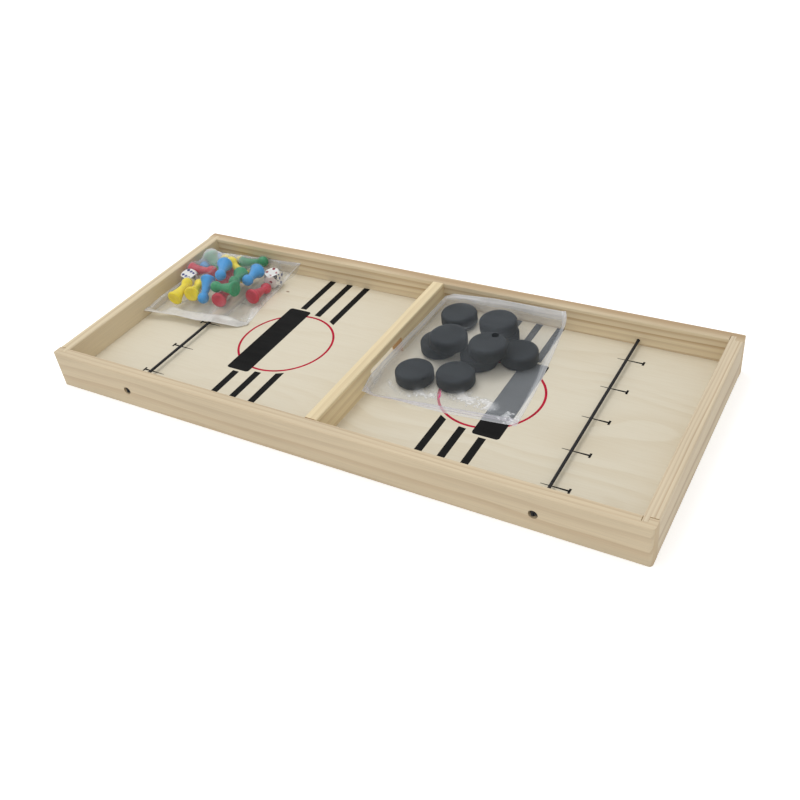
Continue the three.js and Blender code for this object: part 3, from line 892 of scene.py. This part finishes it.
def buildDie(node, values, materials):
    side = values["side"]
    low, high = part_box(node)
    roundRadius = np.linalg.norm(nodePoints(node) - np.array((low + high) / 2), axis=1).max()
    counts = {}
    for normal, count in zip(((0, 0, 1), (0, -1, 0), (1, 0, 0)), values["faces"][node]):
        counts[normal] = count
        counts[tuple(-side for side in normal)] = 7 - count
    steps = values["cutSteps"]
    mesh = bmesh.new()
    for normal, count in counts.items():
        out = Vector(normal)
        across = out.orthogonal().normalized()
        up = out.cross(across)
        pips = [(across * u + up * v) * side * values["pipSpreadShare"] for u, v in pipPlaces(count)]
        grid = []
        for row in range(steps + 1):
            for column in range(steps + 1):
                flat = (across * (2 * column / steps - 1) + up * (2 * row / steps - 1)) * side / 2
                point = flat + out * side / 2
                point *= min(1, roundRadius / point.length)
                for pip in pips:
                    away = (flat - pip).length
                    if away < values["pipRadius"]:
                        point -= out * values["pipDepth"] * math.sqrt(1 - (away / values["pipRadius"]) ** 2)
                grid.append(mesh.verts.new(point))
        for row in range(steps):
            for column in range(steps):
                first = row * (steps + 1) + column
                face = mesh.faces.new([grid[first + k] for k in (0, 1, steps + 2, steps + 1)])
                middle = face.calc_center_median()
                flat = middle - out * middle.dot(out)
                if any((flat - pip).length < values["pipRadius"] for pip in pips):
                    face.material_index = 1 if count in (1, 4) else 2
    bmesh.ops.remove_doubles(mesh, verts=mesh.verts, dist=side / steps / 10)
    bmesh.ops.recalc_face_normals(mesh, faces=mesh.faces)
    mesh.transform(diePlace(node, values))
    piece = finishMesh(node + "_moulded", mesh, materials[0], smooth=True)
    for material in materials[1:]:
        piece.data.materials.append(material)
    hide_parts(node)
    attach(piece, "pawn_bag_lift")


dieMaterials = [paintMaterial("dieWhite", die["white"], 0.3, 0.96, 1.02),
                paintMaterial("redPip", die["redPip"], 0.35), paintMaterial("bluePip", die["bluePip"], 0.35)]
for node in ("die_1", "die_2"):
    buildDie(node, die, dieMaterials)
print("dice")


# Clear film: a faint veil that thickens at welds and where it is seen edge on, with painted highlights at its
# creases, crinkles and seam lines

film = {
    "veil": (0.47, 0.51, 0.55, 1),          # tint of flat film
    "highlightAndWeldWhite": (0.93, 0.93, 0.95, 1),         # painted highlight tint of creases, crinkles and seam lines, and the whiter film of welds and milky places
    "smudge": (0.56, 0.49, 0.38, 1),        # tint where a blurred cord lies under the film
    "creaseGlintHaze": 0.65,
    "weldHaze": 0.20,
    "milkHaze": 0.38,
    "rimHaze": 0.14, "rimBlend": 0.2,
    "smudgeHaze": 0.72,
    "roughness": 0.32,
    "index": 1.5,
    "specularLevel": 0.1,
    "shadowShare": 0.08,                    # thin film lets most of the light through
    "cloudScale": 30.0, "hazeSpread": 0.15,
    "markEdge": (0.5, 1.1),                 # shares of a printed mark's reach where it fades
    "brightShare": 0.7,                     # how much of that white tint welds and milky places take
    "underShare": 0.2,                      # how much of the painted crease highlight the bottom film shows
    "bumpStrength": 0.05,
    "bumpDepth": 0.2 * mm,
    "boardGap": 0.05 * mm,                  # bottom film over the board
    "leastGap": 0.1 * mm,                   # top film over the bottom film
    "topRoom": 1 * mm,                      # how far the film may stand off what it covers
    "openRoom": 6 * mm,                     # and the bottom film where nothing lies
    # settling
    "tautRounds": 1500,
    "steps": 160, "relaxations": 4, "keepSpeed": 0.92, "fall": 0.03 * mm,
    "pullShare": 0.9, "pushShare": 0.2, "shearShare": 0.3, "bendShare": 0.12, "iron": 0.06,
    # crinkles: how sharp the folds are, how wide the patches of painted highlight, and where noise makes one
    "foldSharpness": 2.8, "patchScale": 0.6, "patchLevel": 0.06, "zoneEdge": (0.35, 1.0),
    # crinkles with their painted highlight patches, and the painted crease highlights, fade out between these
    # heights over the bottom film
    "crinkleHeights": (1.5 * mm, 4 * mm), "creaseGlintHeights": (1.6 * mm, 3 * mm),
    "creaseGlintBend": (0.3, 1.0),
    # width of the welds' edge, and of the painted highlight lines along them
    "weldEdge": 0.15, "seamGlintEdge": (0.3 * mm, 1.2 * mm),
}

thickFilm = {                               # grip ribs and hem
    "roughness": 0.3, "cloudScale": 90.0, "speckScale": 900.0, "hazeSpread": 0.2,
    "bump": (0.3, 0.2 * mm),
}


def filmMaterial(name, values, haze, mark=None):
    material, tree, shader = newMaterial(name, {
        "Roughness": values["roughness"], "IOR": values["index"],
        "Specular IOR Level": values["specularLevel"]})
    place = objectPlace(tree)
    creaseGlint, weld, milk, smudge = (shaderNode(tree, "ShaderNodeAttribute", attribute_name=label).outputs["Fac"]
                                  for label in ("creaseGlint", "weld", "milk", "smudge"))
    tone = useGroup(tree, mottle, {
        "Vector": place, "Cloud Scale": values["cloudScale"], "Speck Scale": values["cloudScale"],
        "Low": haze * (1 - values["hazeSpread"]), "High": haze * (1 + values["hazeSpread"])})
    rim = shaderNode(tree, "ShaderNodeLayerWeight", {"Blend": values["rimBlend"]}).outputs["Facing"]
    alpha = tone["Tone"]
    # the painted crease highlight thickens the film too
    for mask, share in ((creaseGlint, "creaseGlintHaze"), (weld, "weldHaze"), (milk, "milkHaze"), (rim, "rimHaze"),
                        (smudge, "smudgeHaze")):
        alpha = add(tree, alpha, multiply(tree, mask, values[share]), clamp=True)
    # creases take the painted highlight tint; welds and milky places take part of the same white as whiter
    # film
    bright = multiply(tree, mathNode(tree, "MAXIMUM", weld, milk), values["brightShare"])
    colour = mixColours(tree, mathNode(tree, "MAXIMUM", creaseGlint, bright), values["veil"], values["highlightAndWeldWhite"])
    colour = mixColours(tree, smudge, colour, values["smudge"])
    if mark:
        fromMark = spotDistance(tree, place, mark["place"], mark["reach"])
        spot = rangeNode(tree, fromMark, *values["markEdge"], 1.0, 0.0)
        colour = mixColours(tree, spot, colour, mark["colour"])
        alpha = add(tree, alpha, multiply(tree, spot, mark["haze"]), clamp=True)
    rays = tree.nodes.new("ShaderNodeLightPath").outputs
    light = mathNode(tree, "MAXIMUM", rays["Is Shadow Ray"], rays["Is Diffuse Ray"])
    alpha = multiply(tree, alpha, rangeNode(tree, light, 0, 1, 1.0, values["shadowShare"], "LINEAR"))
    tree.links.new(colour, shader.inputs["Base Color"])
    tree.links.new(alpha, shader.inputs["Alpha"])
    bumpNode(tree, shader, tone["Height"], values["bumpStrength"], values["bumpDepth"])
    return material


def plainFilm(name, colour, haze, values):
    material, tree, shader = newMaterial(name, {
        "Base Color": colour, "Roughness": values["roughness"], "IOR": 1.5})
    tone = useGroup(tree, mottle, {
        "Vector": objectPlace(tree), "Cloud Scale": values["cloudScale"], "Speck Scale": values["speckScale"],
        "Low": haze * (1 - values["hazeSpread"]), "High": haze * (1 + values["hazeSpread"])})
    tree.links.new(tone["Tone"], shader.inputs["Alpha"])
    bumpNode(tree, shader, tone["Height"], *values["bump"])
    return material


def easedStep(value, low, high):
    t = np.clip((value - low) / (high - low), 0, 1)
    return t * t * (3 - 2 * t)


def layOut(leftX, rightX, frontY, backY, cells):
    # grid of film between four edges: rightX bends on its way back, frontY on its way to the right
    u, v = np.meshgrid(np.linspace(0, 1, cells[0] + 1), np.linspace(0, 1, cells[1] + 1))
    x = leftX + (rightX(v) - leftX) * u
    y = frontY(u) + (backY - frontY(u)) * v
    away = {"left": x - leftX, "right": rightX(v) - x, "front": y - frontY(u), "back": backY - y}
    return x, y, u, v, away


def seamLeans(values, u, v):
    # how high each edge of the bottom film stands, from corner to corner
    corner, left = values["mouthCornerLean"], values["leftLean"]
    shares, heights = zip(*values["backLeans"])
    return {
        "left": corner + (left - corner) * easedStep(v, 0, values["leftTurn"])
        - (left - heights[0]) * easedStep(v, values["leftTurn"], 1),
        "back": np.interp(u, shares, heights),
        "right": heights[-1] * easedStep(v, values["rightTurn"], 1),
        "front": corner * (1 - easedStep(u, 0, values["frontTurn"])),
    }


def undersideOf(level, rest, leans, away, reach):
    # the film lies at its level and curves up to each leaning edge
    raised = [rest + leans[side] * np.clip(1 - away[side] / reach, 0, 1) ** 2 for side in leans]
    return np.maximum.reduce([level, *raised])


def beside(x, y, centre, radius):
    return np.hypot(x - centre[0], y - centre[1]) - radius


def overDiscs(x, y, discs, clearance):
    # top of rounded discs: centre, radius, half thickness and rim radius, all three alike for a ball
    level = np.full(x.shape, -1.0)
    for centre, radius, half, rim in discs:
        away = beside(x, y, centre, 0)
        past = np.clip(away - (radius - rim), 0, rim + clearance)
        curve = centre[2] + half - rim + np.sqrt((rim + clearance) ** 2 - past ** 2)
        level = np.where(away < radius + clearance, np.maximum(level, curve), level)
    return level


def neighbours(field):
    return field[:-2, 1:-1] + field[2:, 1:-1] + field[1:-1, :-2] + field[1:-1, 2:]


def tautFilm(x, y, edgeLevel, floorLevel, ceiling, values):
    # tight membrane between its edges, over what lies below it and under the ceiling
    height = np.maximum(floorLevel, ceiling)
    for edge in ((0, slice(None)), (-1, slice(None)), (slice(None), 0), (slice(None), -1)):
        height[edge] = edgeLevel[edge]
    for _ in range(values["tautRounds"]):
        even = np.minimum(neighbours(height) / 4, ceiling[1:-1, 1:-1])
        height[1:-1, 1:-1] = np.maximum(even, floorLevel[1:-1, 1:-1])
    return np.stack([x, y, height], axis=-1)


def settleFilm(taut, slack, floorLevel, ceiling, pushOut, values):
    # position-based cloth: threads that stretch little and fold easily, ironed against tiny ripples
    now = taut.copy()
    before = taut.copy()
    whole, less, more = slice(None), slice(None, -1), slice(1, None)
    lessTwo, moreTwo = slice(None, -2), slice(2, None)
    threads = []
    for first, second, pull, push in (
            ((whole, less), (whole, more), "pullShare", "pushShare"),
            ((less, whole), (more, whole), "pullShare", "pushShare"),
            ((less, less), (more, more), "shearShare", "pushShare"),
            ((less, more), (more, less), "shearShare", "pushShare"),
            ((whole, lessTwo), (whole, moreTwo), "bendShare", None),
            ((lessTwo, whole), (moreTwo, whole), "bendShare", None)):
        rest = np.linalg.norm(taut[second] - taut[first], axis=-1, keepdims=True) * (1 + slack)
        threads.append((first, second, rest, values[pull], values[push] if push else 1.0))
    edges = ((0, whole), (-1, whole), (whole, 0), (whole, -1))
    for _ in range(values["steps"]):
        velocity = (now - before) * values["keepSpeed"]
        before = now.copy()
        now = now + velocity
        now[..., 2] -= values["fall"]
        for _ in range(values["relaxations"]):
            for first, second, rest, pull, push in threads:
                gap = now[second] - now[first]
                length = np.maximum(np.linalg.norm(gap, axis=-1, keepdims=True), 1e-9)
                spare = (length - rest) / length
                shift = gap * (spare * np.where(spare > 0, pull, pull * push) / 2)
                now[first] += shift
                now[second] -= shift
            for edge in edges:
                now[edge] = taut[edge]
        now[1:-1, 1:-1] += (neighbours(now) / 4 - now[1:-1, 1:-1]) * values["iron"]
        pushOut(now)
        now[..., 2] = np.maximum(np.minimum(now[..., 2], ceiling), floorLevel)
        for edge in edges:
            now[edge] = taut[edge]
    return now


def discPusher(discs, clearance):
    # moves points of film out of the discs
    def push(points):
        for centre, radius, half, rim in discs:
            away = points - centre
            flat = np.linalg.norm(away[..., :2], axis=-1)
            side = flat - (radius - rim)
            level = np.abs(away[..., 2]) - (half - rim)
            outSide, outLevel = np.maximum(side, 0), np.maximum(level, 0)
            corner = np.hypot(outSide, outLevel)
            distance = corner + np.minimum(np.maximum(side, level), 0) - rim
            depth = np.maximum(clearance - distance, 0)
            inside = corner < 1e-9
            pushSide = np.where(inside, side > level, outSide / np.maximum(corner, 1e-9))
            pushLevel = np.where(inside, side <= level, outLevel / np.maximum(corner, 1e-9))
            outward = away[..., :2] / np.maximum(flat, 1e-9)[..., None]
            points[..., :2] += outward * (depth * pushSide)[..., None]
            points[..., 2] += np.sign(away[..., 2]) * depth * pushLevel
    return push


def crinkle(points, bottom, zones, values):
    # small sharp folds in oval zones where the film lies low, and patches of painted highlight among them
    low = 1 - easedStep(points[..., 2] - bottom, *values["crinkleHeights"])
    x, y = points[..., 0] / mm, points[..., 1] / mm
    glintPatches = np.zeros_like(low)
    for seed, (place, reach, fold, height) in enumerate(zones, 1):
        fromZone = np.hypot((x - place[0]) / reach[0], (y - place[1]) / reach[1])
        inside = low * (1 - easedStep(fromZone, *values["zoneEdge"]))
        for spot in zip(*np.nonzero(inside)):
            alongFold, acrossFold = x[spot] / fold[0], y[spot] / fold[1]
            wave = noise.noise((alongFold, acrossFold, 7.3 * seed))
            sharp = max(0.0, 1 - abs(wave) * values["foldSharpness"]) ** 1.5
            points[(*spot, 2)] += sharp * height * mm * inside[spot]
            wide = values["patchScale"]
            patch = noise.noise((alongFold * wide, acrossFold * wide, 3.1 * seed))
            glintPatches[spot] = max(glintPatches[spot], inside[spot] * (patch > values["patchLevel"]))
    return glintPatches


def soften(mask):
    wide = np.pad(mask, 1, mode="edge")
    return (neighbours(wide) + mask) / 5


def drape(x, y, away, bottom, discs, ceiling, slope, drop, values):
    # the top film settles over discs, crinkles where it lies low and ends in the bottom film
    for centre, radius, half, rim in discs:
        past = np.maximum(beside(x, y, centre, radius + values["wallGap"]), 0)
        ceiling = np.maximum(ceiling, centre[2] + half + film["topRoom"] - past * slope - drop)
    least = bottom + film["leastGap"]
    floorLevel = np.maximum(least, overDiscs(x, y, discs, values["clearance"]))
    taut = tautFilm(x, y, bottom, floorLevel, ceiling, film)
    top = settleFilm(taut, values["slackShare"], least, ceiling, discPusher(discs, values["clearance"]), film)
    glintPatches = soften(crinkle(top, bottom, values["crinkles"], film))
    under = np.stack([x, y, bottom], axis=-1)
    edge = np.minimum.reduce(list(away.values())) == 0
    top[edge] = under[edge]
    return top, under, glintPatches


def creaseGlintOf(points, bottom, pitch):
    # painted highlight along folds: how sharply a fold stands up at each point of the film that lies low,
    # from 0 to 1
    z = points[..., 2]
    bend = np.zeros(z.shape)
    bend[:, 1:-1] += 2 * z[:, 1:-1] - z[:, 2:] - z[:, :-2]
    bend[1:-1] += 2 * z[1:-1] - z[2:] - z[:-2]
    return easedStep(bend / pitch, *film["creaseGlintBend"]) * (1 - easedStep(z - bottom, *film["creaseGlintHeights"]))


def weldsOf(away, widths):
    # bands along the welded sides, and the lines of painted highlight that bound them
    band = np.zeros_like(away["left"])
    lines = np.zeros_like(band)
    for side, width in widths.items():
        inner, outer = ((1 + share * film["weldEdge"]) * width for share in (-1, 1))
        band = np.maximum(band, 1 - easedStep(away[side], inner, outer))
        for place in (0, width):
            lines = np.maximum(lines, 1 - easedStep(np.abs(away[side] - place), *film["seamGlintEdge"]))
    return band, lines


def pouch(name, top, bottom, masks, vent, material, node):
    # closed pillow of film: the settled top with its vent, the bottom, and one shared rim
    rows, columns = top.shape[:2]
    topIndex = np.arange(rows * columns).reshape(rows, columns)
    inner = np.zeros((rows, columns), bool)
    inner[1:-1, 1:-1] = True
    bottomIndex = topIndex.copy()
    bottomIndex[inner] = rows * columns + np.arange(inner.sum())
    middle = (top[:-1, :-1] + top[1:, 1:]) / 2
    *ventPlace, ventRadius = vent
    closed = beside(middle[..., 0], middle[..., 1], ventPlace, ventRadius) > 0
    faces = gridFaces(topIndex)[closed.ravel()].tolist() + gridFaces(bottomIndex)[:, ::-1].tolist()
    # points with open and closed cells beside them are drawn onto the vent's circle
    pads = ((0, 1), (1, 0))
    around = sum(np.pad(~closed, (rowPad, columnPad)).astype(int) for rowPad in pads for columnPad in pads)
    rim = (around > 0) & (around < 4)
    out = top[rim][:, :2] - ventPlace
    top[rim, :2] = ventPlace + out * (ventRadius / np.linalg.norm(out, axis=1, keepdims=True))
    points = np.concatenate([top.reshape(-1, 3), bottom[inner]])
    piece = newPiece(name, points, faces, material)
    for label, (above, below) in masks.items():
        attribute = piece.data.attributes.new(label, "FLOAT", "POINT")
        attribute.data.foreach_set("value", np.concatenate([above.ravel(), below[inner]]).astype(np.float32))
    mesh = bmesh.new()
    mesh.from_mesh(piece.data)
    bmesh.ops.delete(mesh, geom=[v for v in mesh.verts if not v.link_faces], context="VERTS")
    mesh.to_mesh(piece.data)
    mesh.free()
    subdivision = piece.modifiers.new("smooth", "SUBSURF")
    subdivision.levels = subdivision.render_levels = 1
    applyModifiers(piece)
    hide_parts(node)
    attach(piece, node + "_lift")


# Puck bag: grip-seal pouch that leans on the divider and the back rail

puckBag = {
    "cells": (96, 104),
    "haze": 0.085,
    "bottomMilk": 0.3,             # the bottom film looks whiter than the top one
    "slackShare": 0.02,            # film to spare over a tight one
    "clearance": 0.35 * mm,
    "rightInset": 14.5 * mm,       # the right edge at the back rail, from the widest place
    "rightBow": 2 * mm,
    "lobe": 4 * mm, "lobePlace": 0.94, "lobeWidth": 0.07,    # a swelling near the back end of the right edge
    "mouthSkew": 13 * mm,
    "leanReach": 9 * mm,           # how far the bottom film curves up to its leaning edges
    "mouthCornerLean": 7.2 * mm, "leftLean": 12.7 * mm,
    "leftTurn": 0.13, "rightTurn": 0.8, "frontTurn": 0.6,    # shares of the edge where its lean changes
    # share of the way along the back rail, and how high the seam stands there
    "backLeans": ((0, 9.4 * mm), (0.08, 14.3 * mm), (0.42, 17.9 * mm), (1, 18.6 * mm)),
    "mouthStrip": 6.8 * mm,
    "seamWidth": 3.2 * mm,
    "mouthSlope": 7,               # the film falls steeply in front of the pucks
    "mouthFlat": 22 * mm,
    "wallGap": 2.6 * mm,           # where the film begins to fall beside a puck
    "slope": 0.8,
    "lowRoom": 1.2 * mm,           # height left to the film at the mouth
    "ventPlace": (79.2 * mm, 41 * mm), "ventRadius": 3.1 * mm,
    "footGlintHeight": 0.9 * mm,          # how high the painted highlight of the fold stands at the foot of the front pucks
    "footGlintReach": 45 * mm,
    "footGlintSpread": (3 * mm, 6 * mm),
    "clearWall": (1.5 * mm, 3.5 * mm),    # no painted crease highlight shows closer to a puck
    # strength of the painted highlight on the seam lines and the crinkle patches
    "seamShine": 0.45, "patchShine": 0.8,
    "backMilk": 0.5, "backMilkReach": 14 * mm,
    "ribRadius": 0.25 * mm,
    "ribColour": (0.80, 0.76, 0.88, 1), "ribHaze": 0.5,
    "mark": {"place": (60, -18), "reach": (0.8, 3.6), "colour": (0.75, 0.06, 0.25, 1), "haze": 0.5},
    # place, reach, fold length and fold height of the crinkled zones, all in mm
    "crinkles": (((40, -20), (24, 9), (10, 4.5), 1.9), ((72, -13), (24, 8), (9, 4), 1.7),
                 ((92, -15), (18, 9), (7, 3.5), 1.6), ((118, -22), (11, 9), (3.5, 5.5), 1.5),
                 ((88, 93), (16, 5), (9, 3), 1.0)),
}


def buildPuckBag(values):
    low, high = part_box("puck_bag")

    def rightX(v):
        lobe = values["lobe"] * np.exp(-((v - values["lobePlace"]) / values["lobeWidth"]) ** 2)
        return high.x - values["rightInset"] * v + values["rightBow"] * np.sin(np.pi * v) + lobe

    def frontY(u):
        return low.y + values["mouthSkew"] * u

    x, y, u, v, away = layOut(low.x, rightX, frontY, high.y, values["cells"])
    level = np.full_like(x, low.z + film["boardGap"])
    bottom = undersideOf(level, low.z, seamLeans(values, u, v), away, values["leanReach"])
    discs = []
    for node in loosePieces("puck"):
        boxLow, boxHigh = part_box(node)
        half = (boxHigh - boxLow) / 2
        discs.append((np.array(boxLow + half), half.x, half.z, puck["rimRadius"]))
    steep = 1 - easedStep(away["front"], values["mouthFlat"], values["mouthFlat"] * 1.5)
    slope = values["slope"] + (values["mouthSlope"] - values["slope"]) * steep
    ceiling = bottom + values["lowRoom"] + film["openRoom"] * (1 - steep)
    top, under, glintPatches = drape(x, y, away, bottom, discs, ceiling, slope, 0, values)
    seam = values["seamWidth"]
    welds, lines = weldsOf(away, {"left": seam, "right": seam, "back": seam, "front": values["mouthStrip"]})
    pitchX, pitchY = ((high[k] - low[k]) / values["cells"][k] for k in (0, 1))
    # painted highlights: sharp folds and the seam lines, then the foot line of the front pucks and the
    # crinkle patches
    creaseGlint = np.maximum(creaseGlintOf(top, bottom, pitchX), lines * values["seamShine"])
    # painted highlight line along the foot of the front pucks
    foot = np.zeros_like(creaseGlint)
    near = np.full_like(creaseGlint, 1.0)
    for centre, radius, half, rim in discs:
        out = beside(x, y, centre, radius)
        near = np.minimum(near, out)
        inFront = easedStep((centre[1] - y) / radius, 0.1, 0.6)
        foot = np.maximum(foot, inFront * (1 - easedStep(out, *values["footGlintSpread"])))
    aboveLine = top[..., 2] - bottom - values["footGlintHeight"]
    foot *= np.exp(-(aboveLine / (0.6 * values["footGlintHeight"])) ** 2)
    foot *= 1 - easedStep(away["front"], values["footGlintReach"] * 0.7, values["footGlintReach"])
    creaseGlint *= easedStep(near, *values["clearWall"])
    creaseGlint = np.maximum.reduce([creaseGlint, foot, values["patchShine"] * glintPatches])
    milk = values["backMilk"] * (1 - easedStep(away["back"], 0, values["backMilkReach"]))
    none = np.zeros_like(milk)
    masks = {"creaseGlint": (creaseGlint, creaseGlint * film["underShare"]), "weld": (welds, none), "smudge": (none, none),
             "milk": (milk, none + values["bottomMilk"])}
    material = filmMaterial("puckBagFilm", film, values["haze"], values["mark"])
    pouch("puck_bag_film", top, under, masks, (*values["ventPlace"], values["ventRadius"]),
          material, "puck_bag")
    ribFilm = plainFilm("gripRibFilm", values["ribColour"], values["ribHaze"], thickFilm)
    for number in (1, 2):
        row = round(number * values["mouthStrip"] / 2 / pitchY)
        path = top[row, 1:-1] + (0, 0, values["ribRadius"] * 0.7)
        piece = newPiece(f"puck_bag_grip_rib_{number}", *tubeMesh(path, values["ribRadius"], 8), ribFilm)
        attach(piece, "puck_bag_lift")


# Pawn bag: hemmed pouch in the left corner, its hem across the sling

pawnBag = {
    "cells": (92, 88),
    "haze": 0.08,
    "slackShare": 0.02,
    "clearance": 0.5 * mm,
    # mouth: share of the way to the right, place from the solid's mouth, height and width of the hem in mm
    "mouth": ((0, -9.7, 18, 6.5), (0.32, -4.4, 16.8, 8.5), (0.57, -3.6, 16.5, 10),
              (0.71, -0.9, 16.5, 9), (0.94, 6.9, 11.3, 8), (1, 12.6, 11.2, 4)),
    "mouthReach": 15 * mm,
    "rightBow": 6.5 * mm,
    "leanReach": 8 * mm,
    "mouthCornerLean": 7.2 * mm, "leftLean": 9 * mm,
    "backLeans": ((0, 8 * mm), (1, 14 * mm)),
    "leftTurn": 0.2, "rightTurn": 0.6, "frontTurn": 0.4,
    "seamWidth": 2.6 * mm,
    "weldHeights": (2 * mm, 6 * mm),    # welds fade where the film stands higher than this
    # strength of the painted highlight on the seam lines and the crinkle patches
    "seamShine": 0.25, "patchShine": 0.3,
    "hemRows": 10, "hemLift": 0.25 * mm, "hemThickness": 0.2 * mm,
    "hemColour": (0.80, 0.78, 0.74, 1), "hemHaze": 0.62,
    "frost": 0.22,                 # how milky the film looks beside the pawns
    "frostReach": 7 * mm,
    "smudgeReach": 9 * mm,         # from the cord
    "wallGap": 0,
    "slope": 0.9,
    "lowRoom": 0.7 * mm,           # height left to the film in the hem
    "hemDrop": 60 * mm,            # holds the film of the hem down, whatever stands behind it
    "cordClearance": 0.5 * mm, "cordEase": 9 * mm,
    "cordMargins": (1 * mm, 0.3 * mm),    # towards the end rail, towards the middle
    "pullTravel": 42 * mm,
    "ballShares": ((0.12, 1.1), (0.3, 0.83), (0.6, 0.6), (0.815, 0.8)),    # balls that fill a pawn
    "ventPlace": (-183 * mm, 13.5 * mm), "ventRadius": 2.2 * mm,
    "milkPlace": (-228 * mm, 88 * mm), "milkReach": 50 * mm, "milkShare": 1.5,
    "crinkles": (((-147, 33), (5, 4), (2.5, 2), 1.2), ((-151, 66), (6, 9), (3, 4), 1.2),
                 ((-236, 12), (5, 5), (3, 3), 1.0), ((-153, 20), (11, 9), (3, 8), 0.9)),
}


def buildPawnBag(values):
    low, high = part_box("pawn_bag")
    shares, *mouthRows = np.array(values["mouth"]).T

    def rightX(v):
        return high.x - values["rightBow"] * np.sin(np.pi * v ** 1.3)

    def alongMouth(u, row):
        return np.interp(u, shares, mouthRows[row]) * mm

    def frontY(u):
        return low.y + alongMouth(u, 0)

    x, y, u, v, away = layOut(low.x, rightX, frontY, high.y, values["cells"])
    cordLow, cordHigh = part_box("left_sling_middle")
    pull = values["pullTravel"] * np.minimum(1, (fieldBack - y) / (fieldBack - cordHigh.y))
    endMargin, middleMargin = values["cordMargins"]
    outside = np.maximum.reduce([cordLow.x - pull - endMargin - x, x - cordHigh.x - middleMargin,
                                 np.zeros_like(x)])
    lift = cordHigh.z + values["cordClearance"] - low.z
    level = low.z + film["boardGap"] + lift * (1 - easedStep(outside, 0, values["cordEase"]))
    bottom = undersideOf(level, low.z, seamLeans(values, u, v), away, values["leanReach"])
    mouth, hemWidth = alongMouth(u, 1), alongMouth(u, 2)
    bottom = mouth + (bottom - mouth) * easedStep(away["front"], 0, values["mouthReach"])
    balls = []
    for node in loosePieces("pawn"):
        foot, axis, height, radius = lyingAxis(node)
        balls += [(foot + axis * height * along, radius * share) for along, share in values["ballShares"]]
    for node in ("die_1", "die_2"):
        balls += dieBalls(node, die)
    balls = [(centre, radius, radius, radius) for centre, radius in balls]
    hem = 1 - easedStep(away["front"], hemWidth * 0.6, hemWidth)
    ceiling = bottom + values["lowRoom"] + film["openRoom"] * (1 - hem)
    top, under, glintPatches = drape(x, y, away, bottom, balls, ceiling, values["slope"],
                                values["hemDrop"] * hem, values)
    welds, lines = weldsOf(away, dict.fromkeys(("left", "right", "back"), values["seamWidth"]))
    lyingLow = 1 - easedStep(top[..., 2] - bottom, *values["weldHeights"])
    pitch = (high.x - low.x) / values["cells"][0]
    # painted highlights: sharp folds, seam lines where the film lies low, and the crinkle patches
    creaseGlint = np.maximum.reduce([creaseGlintOf(top, bottom, pitch), lines * lyingLow * values["seamShine"],
                                values["patchShine"] * glintPatches])
    out = np.minimum.reduce([beside(x, y, centre, radius) for centre, radius, _, _ in balls])
    frost = values["frost"] * easedStep(out, 0, values["frostReach"])
    toMilk = beside(x, y, values["milkPlace"], 0)
    milk = np.maximum(values["milkShare"] * (1 - easedStep(toMilk, 0, values["milkReach"])), frost)
    none = np.zeros_like(milk)
    besideCord = np.abs(x - (cordLow.x + cordHigh.x) / 2)
    smudge = 1 - easedStep(besideCord, 0.3 * values["smudgeReach"], values["smudgeReach"])
    smudge *= easedStep(away["front"], hemWidth * 0.8, hemWidth * 1.3)
    masks = {"creaseGlint": (creaseGlint, creaseGlint * film["underShare"]), "weld": (welds * lyingLow, none),
             "milk": (milk, none), "smudge": (none, smudge)}
    pouch("pawn_bag_film", top, under, masks, (*values["ventPlace"], values["ventRadius"]),
          filmMaterial("pawnBagFilm", film, values["haze"]), "pawn_bag")

    # the hem lies on the mouth's first rows of film
    depth = high.y - frontY(u[0])
    row = np.linspace(0, 1, values["hemRows"])[:, None] * hemWidth[0] / depth * values["cells"][1]
    whole = row.astype(int)
    part = (row - whole)[..., None]
    column = np.arange(top.shape[1])
    band = top[whole, column] * (1 - part) + top[whole + 1, column] * part + (0, 0, values["hemLift"])
    index = np.arange(band[..., 0].size).reshape(band.shape[:2])
    hemFilm = plainFilm("hemFilm", values["hemColour"], values["hemHaze"], thickFilm)
    piece = newPiece("pawn_bag_hem", band.reshape(-1, 3), gridFaces(index).tolist(), hemFilm)
    thickness = piece.modifiers.new("fold", "SOLIDIFY")
    thickness.thickness = values["hemThickness"]
    thickness.offset = 1
    applyModifiers(piece)
    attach(piece, "pawn_bag_lift")


buildPuckBag(puckBag)
print("puck bag settled")
buildPawnBag(pawnBag)
print("pawn bag settled")
